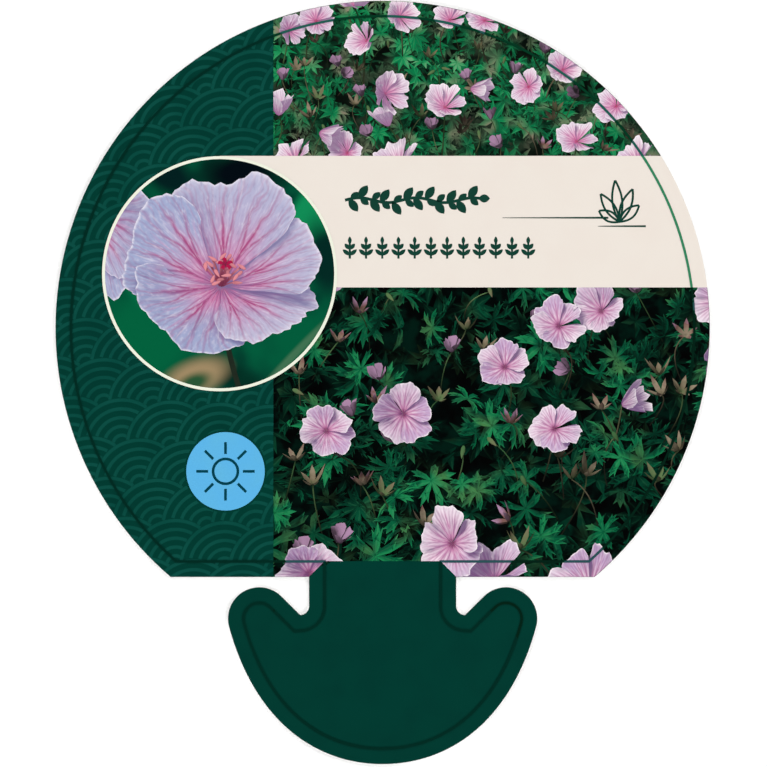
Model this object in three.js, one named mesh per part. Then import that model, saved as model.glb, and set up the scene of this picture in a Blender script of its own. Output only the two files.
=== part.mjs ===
// A slot-in plant label, as die-cut from one sheet of rigid plastic.
//
// The upper part is a disc with a straight lower edge, which carries the printed face. A short neck joins it
// to an anchor-shaped tab: the tab is pushed through the slot in a flowerpot's rim, and its two rounded arms
// then spread behind the wall and hold the label, with the wall's edges standing in the notches beside the neck.
//
// Frame: millimetres, the disc's centre on the sheet's back face is the origin, +Y runs up the label away from
// the tab, and +Z points out of the printed face. The sheet lies on its back on Z = 0.

import * as THREE from "three";

// Driving dimensions.
const SHEET_THICKNESS = 0.6;
const EDGE_EASE = 0.08; // the cut edges are rounded over by this much on both faces
const DISC_RADIUS = 40.9;
const STRAIGHT_EDGE_DROP = 31.15; // from the disc's centre down to its straight lower edge
const NECK_WIDTH = 18.4;
const NOTCH_DROP = 35.9; // from the disc's centre down to the deepest point of each notch
const NOTCH_RADIUS = 1.1; // rounds the notch into the neck's side
const ARM_RADIUS = 3.92; // the round end of each arm
const ARM_OFFSET = 15.42; // from the middle of the label out to the round end's centre
const ARM_DROP = 36.35; // from the disc's centre down to the round end's centre
const ARM_LEAN = THREE.MathUtils.degToRad(43.6); // how steeply the arm's inner side falls to the notch
const TAB_DROP = 54.55; // from the disc's centre down to the tab's lowest point
const HULL_START = THREE.MathUtils.degToRad(-15.3); // where the round end gives way to the tab's underside
const HULL_SIDE_PULL = 12.8; // how far the underside keeps the round end's direction
const HULL_KEEL_PULL = 7.9; // how far it runs level either side of the lowest point

// How finely the round stretches are stepped.
const DISC_STEPS = 150;
const NOTCH_STEPS = 8;
const ARM_STEPS = 24;
const HULL_STEPS = 40;
const EASE_STEPS = 2;

const PLASTIC = { color: 0xf3f2ec, roughness: 0.45, metalness: 0 };

/** Points along a circle from one angle to another, both ends included. */
function arc(centreX, centreY, radius, from, to, steps) {
  return Array.from({ length: steps + 1 }, (_, i) => {
    const angle = THREE.MathUtils.lerp(from, to, i / steps);
    return new THREE.Vector2(
      centreX + radius * Math.cos(angle),
      centreY + radius * Math.sin(angle),
    );
  });
}

/** The disc's round edge, from the straight edge's left end clockwise over the top to its right end. */
function discEdge() {
  const cornerAngle = Math.asin(-STRAIGHT_EDGE_DROP / DISC_RADIUS);
  return arc(0, 0, DISC_RADIUS, Math.PI - cornerAngle, cornerAngle, DISC_STEPS);
}

/** The tab's right half, from the neck's top down round the notch and the arm to the lowest point. */
function rightOfTab() {
  const neck = NECK_WIDTH / 2;
  const neckTop = new THREE.Vector2(neck, -STRAIGHT_EDGE_DROP);
  const notch = arc(
    neck + NOTCH_RADIUS,
    -NOTCH_DROP + NOTCH_RADIUS,
    NOTCH_RADIUS,
    Math.PI,
    1.5 * Math.PI,
    NOTCH_STEPS,
  );
  const arm = arc(
    ARM_OFFSET,
    -ARM_DROP,
    ARM_RADIUS,
    Math.PI / 2 + ARM_LEAN,
    HULL_START,
    ARM_STEPS,
  );
  const armEnd = arm.at(-1);
  const downTheArm = new THREE.Vector2(
    Math.sin(HULL_START),
    -Math.cos(HULL_START),
  );
  const underside = new THREE.CubicBezierCurve(
    armEnd,
    armEnd.clone().addScaledVector(downTheArm, HULL_SIDE_PULL),
    new THREE.Vector2(HULL_KEEL_PULL, -TAB_DROP),
    new THREE.Vector2(0, -TAB_DROP),
  ).getPoints(HULL_STEPS);
  return [neckTop, ...notch, ...arm, ...underside.slice(1)];
}

/** The whole outline, clockwise from the straight edge's left end. */
function labelOutline() {
  const right = rightOfTab();
  const left = right
    .slice(0, -1)
    .reverse()
    .map(({ x, y }) => new THREE.Vector2(-x, y));
  return new THREE.Shape([...discEdge(), ...right, ...left]);
}

/** The die-cut sheet, with both rims of its edge eased. */
function labelSheet() {
  const geometry = new THREE.ExtrudeGeometry(labelOutline(), {
    depth: SHEET_THICKNESS - 2 * EDGE_EASE,
    bevelThickness: EDGE_EASE,
    bevelSize: EDGE_EASE,
    bevelOffset: -EDGE_EASE,
    bevelSegments: EASE_STEPS,
  });
  const mesh = new THREE.Mesh(
    geometry,
    new THREE.MeshStandardMaterial(PLASTIC),
  );
  mesh.name = "label_sheet";
  mesh.position.z = EDGE_EASE;
  return mesh;
}

const label = new THREE.Group();
label.add(labelSheet());

export default label;
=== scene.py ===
"""Looks of a slot-in plant label: a die-cut plastic sheet, and the print on its face.

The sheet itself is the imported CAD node. All that is printed on it is thin films on its face: the
dark green ground with its fan pattern, a garden picture above and below the cream title band, the
round portrait of one bloom in its pale ring, the blue badge, and the frame line that follows the
cut edge.

The pictures are drawn from real forms. Leaves, stems, buds and blooms are modelled in depth, lit
once by a sun and an open sky, and then pressed flat, so that the print keeps their light and shade.

Sizes are in millimetres from the disc's centre, +Y up the label and +Z out of its face, until a
piece is made. Angles are in radians unless a name or a comment says otherwise.
"""

from __future__ import annotations

import logging
import math
from collections.abc import Callable, Iterator, Sequence
from contextlib import contextmanager
from dataclasses import dataclass, replace
from enum import Enum
from functools import cached_property

import bmesh
import bpy
import numpy as np
from mathutils import Euler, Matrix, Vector
from mathutils.bvhtree import BVHTree

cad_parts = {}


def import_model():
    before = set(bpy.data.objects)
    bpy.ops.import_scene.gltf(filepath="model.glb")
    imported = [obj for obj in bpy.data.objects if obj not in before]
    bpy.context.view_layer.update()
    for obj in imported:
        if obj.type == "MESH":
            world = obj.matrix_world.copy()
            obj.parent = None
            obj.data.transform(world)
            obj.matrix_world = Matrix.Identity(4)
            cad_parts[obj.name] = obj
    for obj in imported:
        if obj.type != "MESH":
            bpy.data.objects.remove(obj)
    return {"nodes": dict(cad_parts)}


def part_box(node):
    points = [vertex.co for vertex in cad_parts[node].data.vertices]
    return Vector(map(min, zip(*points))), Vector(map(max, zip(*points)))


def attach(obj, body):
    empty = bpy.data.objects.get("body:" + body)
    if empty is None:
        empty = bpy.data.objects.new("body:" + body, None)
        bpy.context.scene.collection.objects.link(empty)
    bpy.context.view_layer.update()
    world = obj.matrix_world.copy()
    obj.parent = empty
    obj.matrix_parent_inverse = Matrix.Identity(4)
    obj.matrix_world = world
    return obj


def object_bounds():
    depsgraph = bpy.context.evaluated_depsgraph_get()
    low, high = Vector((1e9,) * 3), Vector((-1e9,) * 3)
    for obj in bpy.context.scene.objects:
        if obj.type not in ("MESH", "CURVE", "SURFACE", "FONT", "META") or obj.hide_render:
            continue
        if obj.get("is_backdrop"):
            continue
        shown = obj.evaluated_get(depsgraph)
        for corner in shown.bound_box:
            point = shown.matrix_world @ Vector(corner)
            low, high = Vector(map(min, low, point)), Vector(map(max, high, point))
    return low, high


LOG = logging.getLogger("plant_label")

MM = 0.001
BODY = "root"
SHEET_NODE = "label_sheet"
GLARE = 1.14  # how much lighter than its ink a print looks in the studio
WELD = 1e-6  # points this near are one, in metres
SLIVER = 1e-7  # twice the area of the largest triangle that is left out, in square millimetres
PETALS = 5

Rgb = tuple[int, int, int]
Stops = tuple[tuple[float, Rgb], ...]
Pair = tuple[float, float]
Triple = tuple[float, float, float]
Series = tuple[tuple[float, ...], ...]
Rows = np.ndarray
Field = Callable[[Rows], Rows]
Piece = bpy.types.Object
Socket = bpy.types.NodeSocket


class Slot(Enum):
    """The record's material slots that the print uses."""

    GREEN = "green_print"
    CREAM = "cream_print"
    BLUE = "blue_print"
    PICTURE = "picture_print"


class Film(float, Enum):
    """How high each printed film lies above the sheet's face, in millimetres."""

    GROUND = 0.008
    PATTERN = 0.014
    PICTURE_GROUND = 0.014
    GARDEN_FOOT = 0.020
    GARDEN_HEAD = 0.090
    BAND = 0.096
    PORTRAIT_GROUND = 0.102
    PORTRAIT_FOOT = 0.106
    PORTRAIT_HEAD = 0.130
    RING = 0.136
    BADGE = 0.022
    BADGE_MOTIF = 0.028
    BAND_MOTIF = 0.104
    FRAME_LINE = 0.142


@dataclass(frozen=True)
class Layout:
    """Where the parts of the print lie, in millimetres."""

    picture_left: float = -13.65  # the upright edge between the green panel and the pictures
    band_bottom: float = 5.05
    band_top: float = 21.49
    portrait: Pair = (-20.37, 6.76)
    portrait_radius: float = 14.69  # to the outside of its ring
    ring_width: float = 0.37
    badge: Pair = (-19.64, -17.94)
    badge_radius: float = 4.9
    border: float = 1.95  # how far the frame line runs inside the cut edge
    line_width: float = 0.31  # of the frame line
    disc_radius: float = 40.84
    straight_edge: float = -31.11  # the disc's lower edge
    neck_half: float = 9.2  # half the neck's width

    @property
    def foot(self) -> float:
        """The height at which the neck's green ends."""
        return self.straight_edge + self.border

    @property
    def mitre(self) -> float:
        """Half the width of the neck's green at that height, below which it widens."""
        return self.neck_half - self.border


LAYOUT = Layout()


# ------------------------ regions


def inside_circle(centre: Pair, radius: float) -> Field:
    """Returns how far inside a circle a point lies."""
    return lambda at: radius - np.hypot(at[:, 0] - centre[0], at[:, 1] - centre[1])


def right_of(x: float) -> Field:
    """Returns how far right of an upright line a point lies."""
    return lambda at: at[:, 0] - x


def above(y: float) -> Field:
    """Returns how far above a level line a point lies."""
    return lambda at: at[:, 1] - y


def outside(region: Field) -> Field:
    """Returns how far outside a region a point lies."""
    return lambda at: -region(at)


def clear_of_neck(at: Rows) -> Rows:
    """Returns how far points lie from the neck's green, which ends in two mitred corners."""
    over = at[:, 1] - LAYOUT.foot
    return np.maximum(over, np.abs(at[:, 0]) - LAYOUT.mitre + over)


DISC = inside_circle((0, 0), LAYOUT.disc_radius)
IN_PICTURE = right_of(LAYOUT.picture_left)
OVER_BAND = above(LAYOUT.band_top)
UNDER_BAND = outside(above(LAYOUT.band_bottom))


# ------------------------ bench


def deselect_all() -> None:
    """Leaves nothing selected, the CAD node included."""
    bpy.ops.object.select_all(action="DESELECT")


@contextmanager
def editing(piece: Piece) -> Iterator[None]:
    """Opens a piece in edit mode with all of it selected, and closes it again.

    Args:
        piece: The mesh object that operators act on meanwhile.

    Yields:
        Nothing.
    """
    deselect_all()
    piece.select_set(True)
    bpy.context.view_layer.objects.active = piece
    bpy.ops.object.mode_set(mode="EDIT")
    bpy.ops.mesh.select_all(action="SELECT")
    yield
    bpy.ops.object.mode_set(mode="OBJECT")
    piece.select_set(False)


def linked(name: str, data: bpy.types.ID) -> Piece:
    """Puts a new object in the scene.

    Args:
        name: The object's name.
        data: Its mesh, camera or light.

    Returns:
        The object.
    """
    thing = bpy.data.objects.new(name, data)
    bpy.context.scene.collection.objects.link(thing)
    return thing


def cut_away(piece: Piece, at: Pair, side: Pair) -> None:
    """Cuts a piece along an upright plane and drops what lies on one side.

    Args:
        piece: The piece to cut.
        at: A point on the plane, in millimetres.
        side: The direction of the side that is dropped.
    """
    plane = {"plane_co": (at[0] * MM, at[1] * MM, 0), "plane_no": (*side, 0)}
    with editing(piece):
        bpy.ops.mesh.bisect(**plane, clear_outer=True, threshold=1e-7)


def finish_piece(piece: Piece, finish: Ink, slot: Slot) -> None:
    """Dresses a piece and lets it ride on the label.

    Args:
        piece: The finished mesh object.
        finish: Its ink.
        slot: The record's slot for that ink. It is not used.
    """
    piece.data.materials.clear()
    piece.data.materials.append(finish.material())
    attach(piece, BODY)
    slot.value
    LOG.info("%s: %d faces", piece.name, len(piece.data.polygons))


# ------------------------ patches

# The columns of a patch's table. Point, place and grain take several of them.
POINT, PLACE, GRAIN = slice(0, 3), slice(0, 2), slice(3, 6)
DEPTH, ACROSS, ALONG, TONE, LIGHT, COLUMNS = range(2, 8)


@dataclass
class Patch:
    """A part of a drawing, as triangles.

    Each point's row holds its place and depth in millimetres, how far it lies across and along its
    leaf or petal, the tone by which copies differ, and how brightly it is lit.
    """

    table: Rows  # a row for each point
    faces: Rows  # a row of three point numbers for each triangle

    @staticmethod
    def joined(patches: Sequence[Patch]) -> Patch:
        """Makes several patches one.

        Args:
            patches: The patches.

        Returns:
            One patch with all their rows, in the same order.
        """
        starts = np.cumsum([0] + [len(p.table) for p in patches[:-1]])
        faces = [p.faces + start for p, start in zip(patches, starts)]
        return Patch(np.vstack([p.table for p in patches]), np.vstack(faces))

    def placed(
        self, turn: Rows, shift: Sequence[float] = (0, 0, 0), tone: float | None = None
    ) -> Patch:
        """Copies the patch to a place.

        Args:
            turn: The 3 by 3 matrix that turns or scales it.
            shift: Where its origin then goes.
            tone: The copy's tone, or None to keep the tones it has.

        Returns:
            The copy.
        """
        table = self.table.copy()
        table[:, POINT] = table[:, POINT] @ turn.T + np.asarray(shift)
        if tone is not None:
            table[:, TONE] = tone
        return Patch(table, self.faces)

    def trimmed(self, *regions: Field) -> Patch:
        """Trims the patch to the place where every region's field is positive.

        Args:
            regions: The fields, in millimetres.

        Returns:
            The part inside, with the triangles on its outline cut.
        """
        patch = self
        for region in regions:
            patch = patch._trimmed_once(region)
        return patch._without_strays()

    def _trimmed_once(self, region: Field) -> Patch:
        """Trims the patch to one region.

        Args:
            region: The region's field.

        Returns:
            The part inside. Points that no triangle uses are still in its table.
        """
        depth = region(self.table[:, PLACE])
        depth = np.where(np.abs(depth) < WELD, WELD, depth)
        inside = depth[self.faces] > 0
        count = inside.sum(1)
        kept, table, total = [self.faces[count == 3]], [self.table], len(self.table)
        for wanted in (1, 2):
            faces = self.faces[count == wanted]
            if not len(faces):
                continue
            rows = np.arange(len(faces))
            lone = (inside[count == wanted] == (wanted == 1)).argmax(1)
            a, b, c = (faces[rows, (lone + k) % 3] for k in range(3))
            for other in (b, c):
                share = depth[a] / (depth[a] - depth[other])
                table.append(self.table[a] + (self.table[other] - self.table[a]) * share[:, None])
            on_b = total + rows
            on_c = on_b + len(faces)
            total += 2 * len(faces)
            if wanted == 1:
                kept.append(np.stack([a, on_b, on_c], 1))
            else:
                kept += [np.stack([on_b, b, c], 1), np.stack([on_b, c, on_c], 1)]
        return Patch(np.vstack(table), np.vstack(kept))

    def _without_strays(self) -> Patch:
        """Returns the patch without the points that no triangle uses."""
        used, faces = np.unique(self.faces, return_inverse=True)
        return Patch(self.table[used], faces.reshape(-1, 3))

    def normals(self) -> tuple[Rows, Rows]:
        """Finds how each point faces.

        Returns:
            The unit normals, turned towards the viewer, and whether each point's back is seen.
        """
        a, b, c = (self.table[self.faces[:, k], POINT] for k in range(3))
        flat = np.cross(b - a, c - a)
        total = np.zeros((len(self.table), 3))
        for corner in range(3):
            np.add.at(total, self.faces[:, corner], flat)
        behind = total[:, 2] < 0
        total[behind] *= -1
        return unit(total), behind

    def pressed(self, foot: float, head: float) -> Patch:
        """Presses the patch flat, with its order in depth kept.

        Args:
            foot: The height that its lowest point goes to.
            head: The height that its highest point goes to.

        Returns:
            The flat patch.
        """
        table = self.table.copy()
        low, high = table[:, DEPTH].min(), table[:, DEPTH].max()
        table[:, DEPTH] = foot + (head - foot) * ((table[:, DEPTH] - low) / (high - low))
        return Patch(table, self.faces)

    def printed(self, name: str, face: float, finish: Ink, slot: Slot) -> Piece:
        """Makes the patch a finished piece whose faces all look out of the label.

        Args:
            name: The piece's name.
            face: The height of the sheet's face, in millimetres.
            finish: Its ink.
            slot: The record's slot for that ink.

        Returns:
            The piece, at the origin.
        """
        a, b, c = (self.table[self.faces[:, k], PLACE] for k in range(3))
        turn = np.cross(b - a, c - a)
        faces = np.where((turn < 0)[:, None], self.faces[:, ::-1], self.faces)
        flat = Patch(self.table, faces[np.abs(turn) > SLIVER])._without_strays()
        mesh = bpy.data.meshes.new(name)
        points = (flat.table[:, POINT] + (0, 0, face)) * MM
        mesh.from_pydata(points.tolist(), [], flat.faces.tolist())
        grain = mesh.attributes.new("grain", "FLOAT_VECTOR", "POINT")
        grain.data.foreach_set("vector", flat.table[:, GRAIN].astype(np.float32).ravel())
        light = mesh.attributes.new("light", "FLOAT", "POINT")
        light.data.foreach_set("value", flat.table[:, LIGHT].astype(np.float32))
        piece = linked(name, mesh)
        finish_piece(piece, finish, slot)
        return piece


def grid(across: int, along: int) -> Patch:
    """Makes a flat grid, from -1 to 1 across and from 0 to 1 along.

    Args:
        across: How many cells it has across.
        along: How many cells it has along.

    Returns:
        The grid, as triangles.
    """
    deselect_all()
    bpy.ops.mesh.primitive_grid_add(x_subdivisions=across, y_subdivisions=along, size=2)
    return taken_apart(bpy.context.object)


def taken_apart(piece: Piece) -> Patch:
    """Turns a primitive into a patch and removes it.

    Args:
        piece: A primitive that was just added, from -1 to 1 each way.

    Returns:
        Its triangles. Along runs up the primitive's Y, from 0 to 1.
    """
    with editing(piece):
        bpy.ops.mesh.quads_convert_to_tris()
    mesh = piece.data
    table = np.zeros((len(mesh.vertices), COLUMNS))
    points = np.zeros(len(mesh.vertices) * 3)
    mesh.vertices.foreach_get("co", points)
    table[:, POINT] = points.reshape(-1, 3)
    table[:, ACROSS] = table[:, 0]
    table[:, ALONG] = (table[:, 1] + 1) / 2
    table[:, LIGHT] = 1
    faces = np.zeros(len(mesh.polygons) * 3, np.int32)
    mesh.polygons.foreach_get("vertices", faces)
    bpy.data.objects.remove(piece)
    bpy.data.meshes.remove(mesh)
    return Patch(table, faces.reshape(-1, 3))


def ribbon(path: Rows, half_widths: Rows | float, closed: bool = False) -> Patch:
    """Makes a strip along a path, three points wide, with its edges a little below its middle.

    Args:
        path: The path's points, with their depths.
        half_widths: Half the strip's width at each point, or all along.
        closed: Whether the last point joins the first.

    Returns:
        The strip.
    """
    if closed:
        ahead, behind = np.roll(path, -1, 0), np.roll(path, 1, 0)
    else:
        ahead = np.vstack([path[1:], 2 * path[-1:] - path[-2:-1]])
        behind = np.vstack([2 * path[:1] - path[1:2], path[:-1]])
    one, two = unit((ahead - path)[:, :2]), unit((path - behind)[:, :2])
    heading = unit(one + two)
    reach = np.asarray(half_widths) / np.maximum((one * heading).sum(1), 0.3)
    side = np.zeros_like(path)
    side[:, 0], side[:, 1] = -heading[:, 1] * reach, heading[:, 0] * reach
    lengths = np.r_[0, np.cumsum(np.linalg.norm(np.diff(path, axis=0), axis=1))]
    count = len(path)
    table = np.zeros((3 * count, COLUMNS))
    for lane, across in enumerate((-1, 0, 1)):
        rows = slice(lane * count, (lane + 1) * count)
        table[rows, POINT] = path - across * side
        table[rows, DEPTH] -= abs(across) * np.abs(reach)
        table[rows, ACROSS] = across
        table[rows, ALONG] = lengths / lengths[-1]
    table[:, LIGHT] = 1
    now = np.arange(count if closed else count - 1)
    then = (now + 1) % count
    faces = []
    for start in (0, count):
        a, b = now + start, then + start
        c, d = b + count, a + count
        faces += [np.stack([a, d, c], 1), np.stack([a, c, b], 1)]
    return Patch(table, np.vstack(faces))


def level_ribbon(path: Rows, half_widths: Rows | float, closed: bool = False) -> Patch:
    """Makes a strip as ribbon does, but flat.

    Args:
        path: The path's points, without depths.
        half_widths: Half the strip's width at each point, or all along.
        closed: Whether the last point joins the first.

    Returns:
        The strip, at depth 0.
    """
    patch = ribbon(np.column_stack([path, np.zeros(len(path))]), half_widths, closed)
    patch.table[:, DEPTH] = 0
    return patch


def unit(rows: Rows) -> Rows:
    """Returns rows scaled to length one."""
    return rows / np.maximum(np.linalg.norm(rows, axis=1, keepdims=True), 1e-12)


def way(angle: float) -> Rows:
    """Returns the unit vector at an angle from +X."""
    return np.array((math.cos(angle), math.sin(angle)))


def on_circle(centre: Sequence[float], radius: float, angles: Rows) -> Rows:
    """Returns the points of a circle at some angles."""
    return np.asarray(centre) + radius * np.column_stack([np.cos(angles), np.sin(angles)])


def turned(lean_x: float, lean_y: float, spin: float, scale: float = 1.0) -> Rows:
    """Returns the matrix that scales, spins about Z, and then leans about Y and X."""
    lean = Euler((lean_x, lean_y, 0)).to_matrix() @ Euler((0, 0, spin)).to_matrix()
    return np.array(lean) * scale


def arched(start: Sequence[float], end: Sequence[float], bow: Sequence[float], steps: int) -> Rows:
    """Makes an arched path.

    Args:
        start: Where the path starts.
        end: Where it ends.
        bow: How far its middle is pushed out of line.
        steps: How many stretches it has.

    Returns:
        The path's points.
    """
    t = np.linspace(0, 1, steps + 1)[:, None]
    return np.asarray(start) + np.subtract(end, start) * t + np.asarray(bow) * 4 * t * (1 - t)


# ------------------------ light


@dataclass(frozen=True)
class Daylight:
    """The sun and sky that light the pictured plants."""

    sun: Triple = (-0.38, 0.5, 0.78)
    sun_share: float = 0.62  # of all the light
    wrap: float = 0.25  # how much light a surface lets through from its far side
    back_share: float = 0.72  # how much of its light a surface keeps where its back is seen
    haze: float = 0.16  # how wide the sun is, which softens the shadows' edges
    sun_spokes: int = 5
    reach: float = 9.0  # how far off a neighbour still shades a point
    sky_rings: tuple[float, ...] = (24.0, 56.0)  # the slants of the sky's samples, in degrees
    sky_spokes: int = 4
    clearance: float = 0.02  # how far above its surface a point looks out

    def sky(self) -> list[Vector]:
        """Samples the sky.

        Returns:
            The directions in which a point looks for open sky.
        """
        found = []
        for number, slant in enumerate(map(math.radians, self.sky_rings)):
            for spoke in range(self.sky_spokes):
                level = math.sin(slant) * way(math.tau * (spoke + 0.5 * number) / self.sky_spokes)
                found.append(Vector((*level, math.cos(slant))))
        return found

    def hazy_sun(self) -> list[Vector]:
        """Samples the sun's hazy disc.

        Returns:
            The directions in which a point looks for the sun.
        """
        middle = Vector(self.sun).normalized()
        side = middle.orthogonal().normalized()
        up = middle.cross(side)
        angles = [math.tau * number / self.sun_spokes for number in range(self.sun_spokes)]
        return [middle + self.haze * (side * math.cos(a) + up * math.sin(a)) for a in angles]

    def lit(self, patch: Patch) -> Patch:
        """Works out the light on a picture.

        Args:
            patch: All that stands in the picture, in depth.

        Returns:
            A copy whose light runs from 0, in deep shade, to 1, in full sun.
        """
        points = patch.table[:, POINT]
        tree = BVHTree.FromPolygons(points.tolist(), patch.faces.tolist(), all_triangles=True)
        normals, behind = patch.normals()
        starts = (points + normals * self.clearance).tolist()

        def clear(ways: list[Vector]) -> Rows:
            """Finds how much of a light each point sees.

            Args:
                ways: The directions in which it looks.

            Returns:
                The share of them in which it sees past its neighbours.
            """
            cast = tree.ray_cast
            seen = [sum(cast(at, to, self.reach)[0] is None for to in ways) for at in starts]
            return np.array(seen) / len(ways)

        facing = normals @ np.array(Vector(self.sun).normalized())
        facing = np.clip((facing + self.wrap) / (1 + self.wrap), 0, 1)
        in_sun, open_sky = clear(self.hazy_sun()), clear(self.sky())
        table = patch.table.copy()
        table[:, LIGHT] = self.sun_share * facing * in_sun + (1 - self.sun_share) * open_sky
        table[behind, LIGHT] *= self.back_share
        return Patch(table, patch.faces)


SUNSHINE = Daylight()
SOFT_LIGHT = Daylight(sun_share=0.4, haze=0.5, sky_rings=(14, 34, 56, 76), sky_spokes=8)


# ------------------------ plant forms


@dataclass(frozen=True)
class BloomShape:
    """How finely a kind of bloom is made, and how its petals stand."""

    across: int  # cells across a petal
    along: int  # cells along a petal
    breadth: float = 45.0  # half the angle that a petal fills, in degrees
    ragged: float = 1.0  # how deep the waves of the petals' edges are
    twist: float = 0.2  # how far a petal's right side stands above its left one
    uneven: float = 0.3  # how much the petals differ in their rise


GARDEN_BLOOM = BloomShape(across=24, along=9, ragged=1.7)
HALF_OPEN_BLOOM = BloomShape(across=6, along=6)
PORTRAIT_BLOOM = BloomShape(across=56, along=44, breadth=52.0, twist=0.12, uneven=1.0)
SECOND_BLOOM = replace(PORTRAIT_BLOOM, across=30, along=26)


@dataclass
class PlantForms:
    """The forms that a picture is drawn with, each about one unit in radius."""

    rng: np.random.Generator  # the source of every random draw in these forms
    fingers: tuple[int, int] = (6, 9)  # the fewest on a leaf, and one more than the most
    leaf_spread: Pair = (270.0, 300.0)  # the angle that a leaf's fingers fill, in degrees
    finger_width: Pair = (0.165, 0.115)  # half the width of a plain finger and of a lobed one
    lobe_width: float = 0.09  # half the width of a side lobe
    lobe_root: Pair = (0.4, 0.55)  # where on its finger a side lobe starts
    lobe_length: Pair = (0.3, 0.44)  # in lengths of its finger
    lobe_slant: Pair = (22.0, 32.0)  # between a side lobe and its finger, in degrees

    @cached_property
    def leaves(self) -> list[Patch]:
        """The lobed leaves that are copied in front."""
        return [self.leaf(lobed=True) for _ in range(8)]

    @cached_property
    def plain_leaves(self) -> list[Patch]:
        """The plainer leaves that are copied in the shade below."""
        return [self.leaf(lobed=False) for _ in range(6)]

    @cached_property
    def blooms(self) -> list[Patch]:
        """The open blooms that are copied, from nearly flat to deep."""
        return [self.bloom(GARDEN_BLOOM, cup) for cup in np.linspace(0.2, 0.75, 9)]

    @cached_property
    def half_open(self) -> list[Patch]:
        """The half-open blooms that are copied."""
        return [self.bloom(HALF_OPEN_BLOOM, 1.7) for _ in range(3)]

    def blade(self, length: float, half_width: float, rows: int, droop: float) -> Patch:
        """Makes one narrow pointed blade, folded along its midrib.

        Args:
            length: Its length, along Y.
            half_width: Half its greatest width.
            rows: How many cells it has along. A blade of one cell is widest at its root.
            droop: How far its tip hangs, as a share of its length.

        Returns:
            The blade, with its root at the origin.
        """
        patch = grid(2, rows)
        across, along = patch.table[:, ACROSS], patch.table[:, ALONG]
        swell = 2.25 * (along + 0.06) ** 0.75 * (1 - along) ** 0.65 if rows > 1 else 1 - along
        half = half_width * swell
        patch.table[:, 0] = across * half
        patch.table[:, 1] = along * length
        patch.table[:, 2] = 0.8 * np.abs(across) * half - droop * length * along**2
        return patch

    def leaf(self, lobed: bool) -> Patch:
        """Makes a hand-shaped leaf, cut into fingers.

        Args:
            lobed: Whether each finger bears two side lobes.

        Returns:
            The leaf, with its stalk at the origin.
        """
        parts = []
        draw = self.rng.uniform
        fingers = int(self.rng.integers(*self.fingers))
        spread = math.radians(draw(*self.leaf_spread))
        for number in range(fingers):
            share = number / (fingers - 1) - 0.5
            heading = share * spread + self.rng.normal(0, 0.06)
            length = (1.0 - 0.45 * abs(share)) * draw(0.88, 1.06)
            droop = draw(0.0, 0.3)
            width = self.finger_width[lobed] * draw(0.85, 1.15)
            finger = [self.blade(length, width, 3 if lobed else 2, droop)]
            for side in (-1, 1) if lobed else ():
                root = draw(*self.lobe_root) * length
                lobe = self.blade(length * draw(*self.lobe_length), self.lobe_width, 1, droop)
                angle = side * math.radians(draw(*self.lobe_slant))
                at = (0, root, -droop * root * root / length)
                finger.append(lobe.placed(turned(0, 0, angle), at))
            parts += [part.placed(turned(0, 0, heading)) for part in finger]
        return Patch.joined(parts)

    def petal(self, shape: BloomShape) -> Patch:
        """Makes one broad petal with rounded corners, a dip and a waved outer edge.

        Args:
            shape: The kind of bloom that it belongs to.

        Returns:
            The petal, with its claw at the origin and its outer edge about one unit along Y.
        """
        draw = self.rng.uniform
        spread = math.radians(shape.breadth + draw(-4, 4))
        notch = draw(0.0, 0.1)
        frill = shape.ragged * draw(0.018, 0.034)
        patch = grid(shape.across, shape.along)
        round_off = patch.table[:, ACROSS] * math.pi / 2
        patch.table[:, ACROSS] = np.sin(round_off)
        u, v = patch.table[:, ACROSS], patch.table[:, ALONG]
        phase = draw(0, math.tau, 6)
        angle = u * spread * (0.86 + 0.14 * v)
        edge = 0.56 + 0.44 * np.cos(round_off).clip(0) ** 0.8 - notch * np.exp(-((u / 0.22) ** 2))
        edge += frill * (np.sin(5.3 * u + phase[0]) + 0.6 * np.sin(12.1 * u + phase[1]))
        edge += 0.6 * frill * np.sin(31 * u + phase[5]) * np.sin(11 * u + phase[0])
        edge += 0.28 * frill * np.sin(67 * u + phase[4])
        reach = v * (1 + (edge - 1) * v)
        patch.table[:, 0] = reach * np.sin(angle)
        patch.table[:, 1] = reach * np.cos(angle)
        waves = 0.055 * np.sin(4.1 * u + phase[2]) + 0.028 * np.sin(9.3 * u + phase[3])
        ripple = 0.02 * np.sin(7.5 * v + phase[4])
        pleats = 0.008 * np.cos(math.tau * 3 * u)
        patch.table[:, 2] = v * (shape.twist * u + pleats + ripple) + v * v * waves
        patch.table[:, TONE] = draw()
        return patch

    def bloom(self, shape: BloomShape, cup: float) -> Patch:
        """Makes a bloom of overlapping petals.

        Args:
            shape: The kind of bloom.
            cup: How far the petals rise towards their edge.

        Returns:
            The bloom, with its middle at the origin, facing +Z.
        """
        parts = []
        draw = self.rng.uniform
        for number in range(PETALS):
            petal = self.petal(shape)
            rise = cup * (1 + shape.uneven * draw(-0.25, 0.25))
            curl = draw(0.0, 0.16)
            reach = np.hypot(petal.table[:, 0], petal.table[:, 1])
            petal.table[:, 2] += rise * reach**1.5 - curl * reach**5
            heading = math.radians(360 / PETALS * number + draw(-6, 6))
            parts.append(petal.placed(turned(0, 0, heading, draw(0.9, 1.06))))
        return Patch.joined(parts)

    def calyx(self) -> Patch:
        """Makes a star of pointed sepals, as it stays when the petals have dropped.

        Returns:
            The star, about the origin.
        """
        parts = []
        for number in range(PETALS):
            sepal = self.blade(self.rng.uniform(0.8, 1.15), 0.24, 3, -self.rng.uniform(0.7, 1.5))
            parts.append(sepal.placed(turned(0, 0, math.tau * number / PETALS)))
        return Patch.joined(parts)

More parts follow.
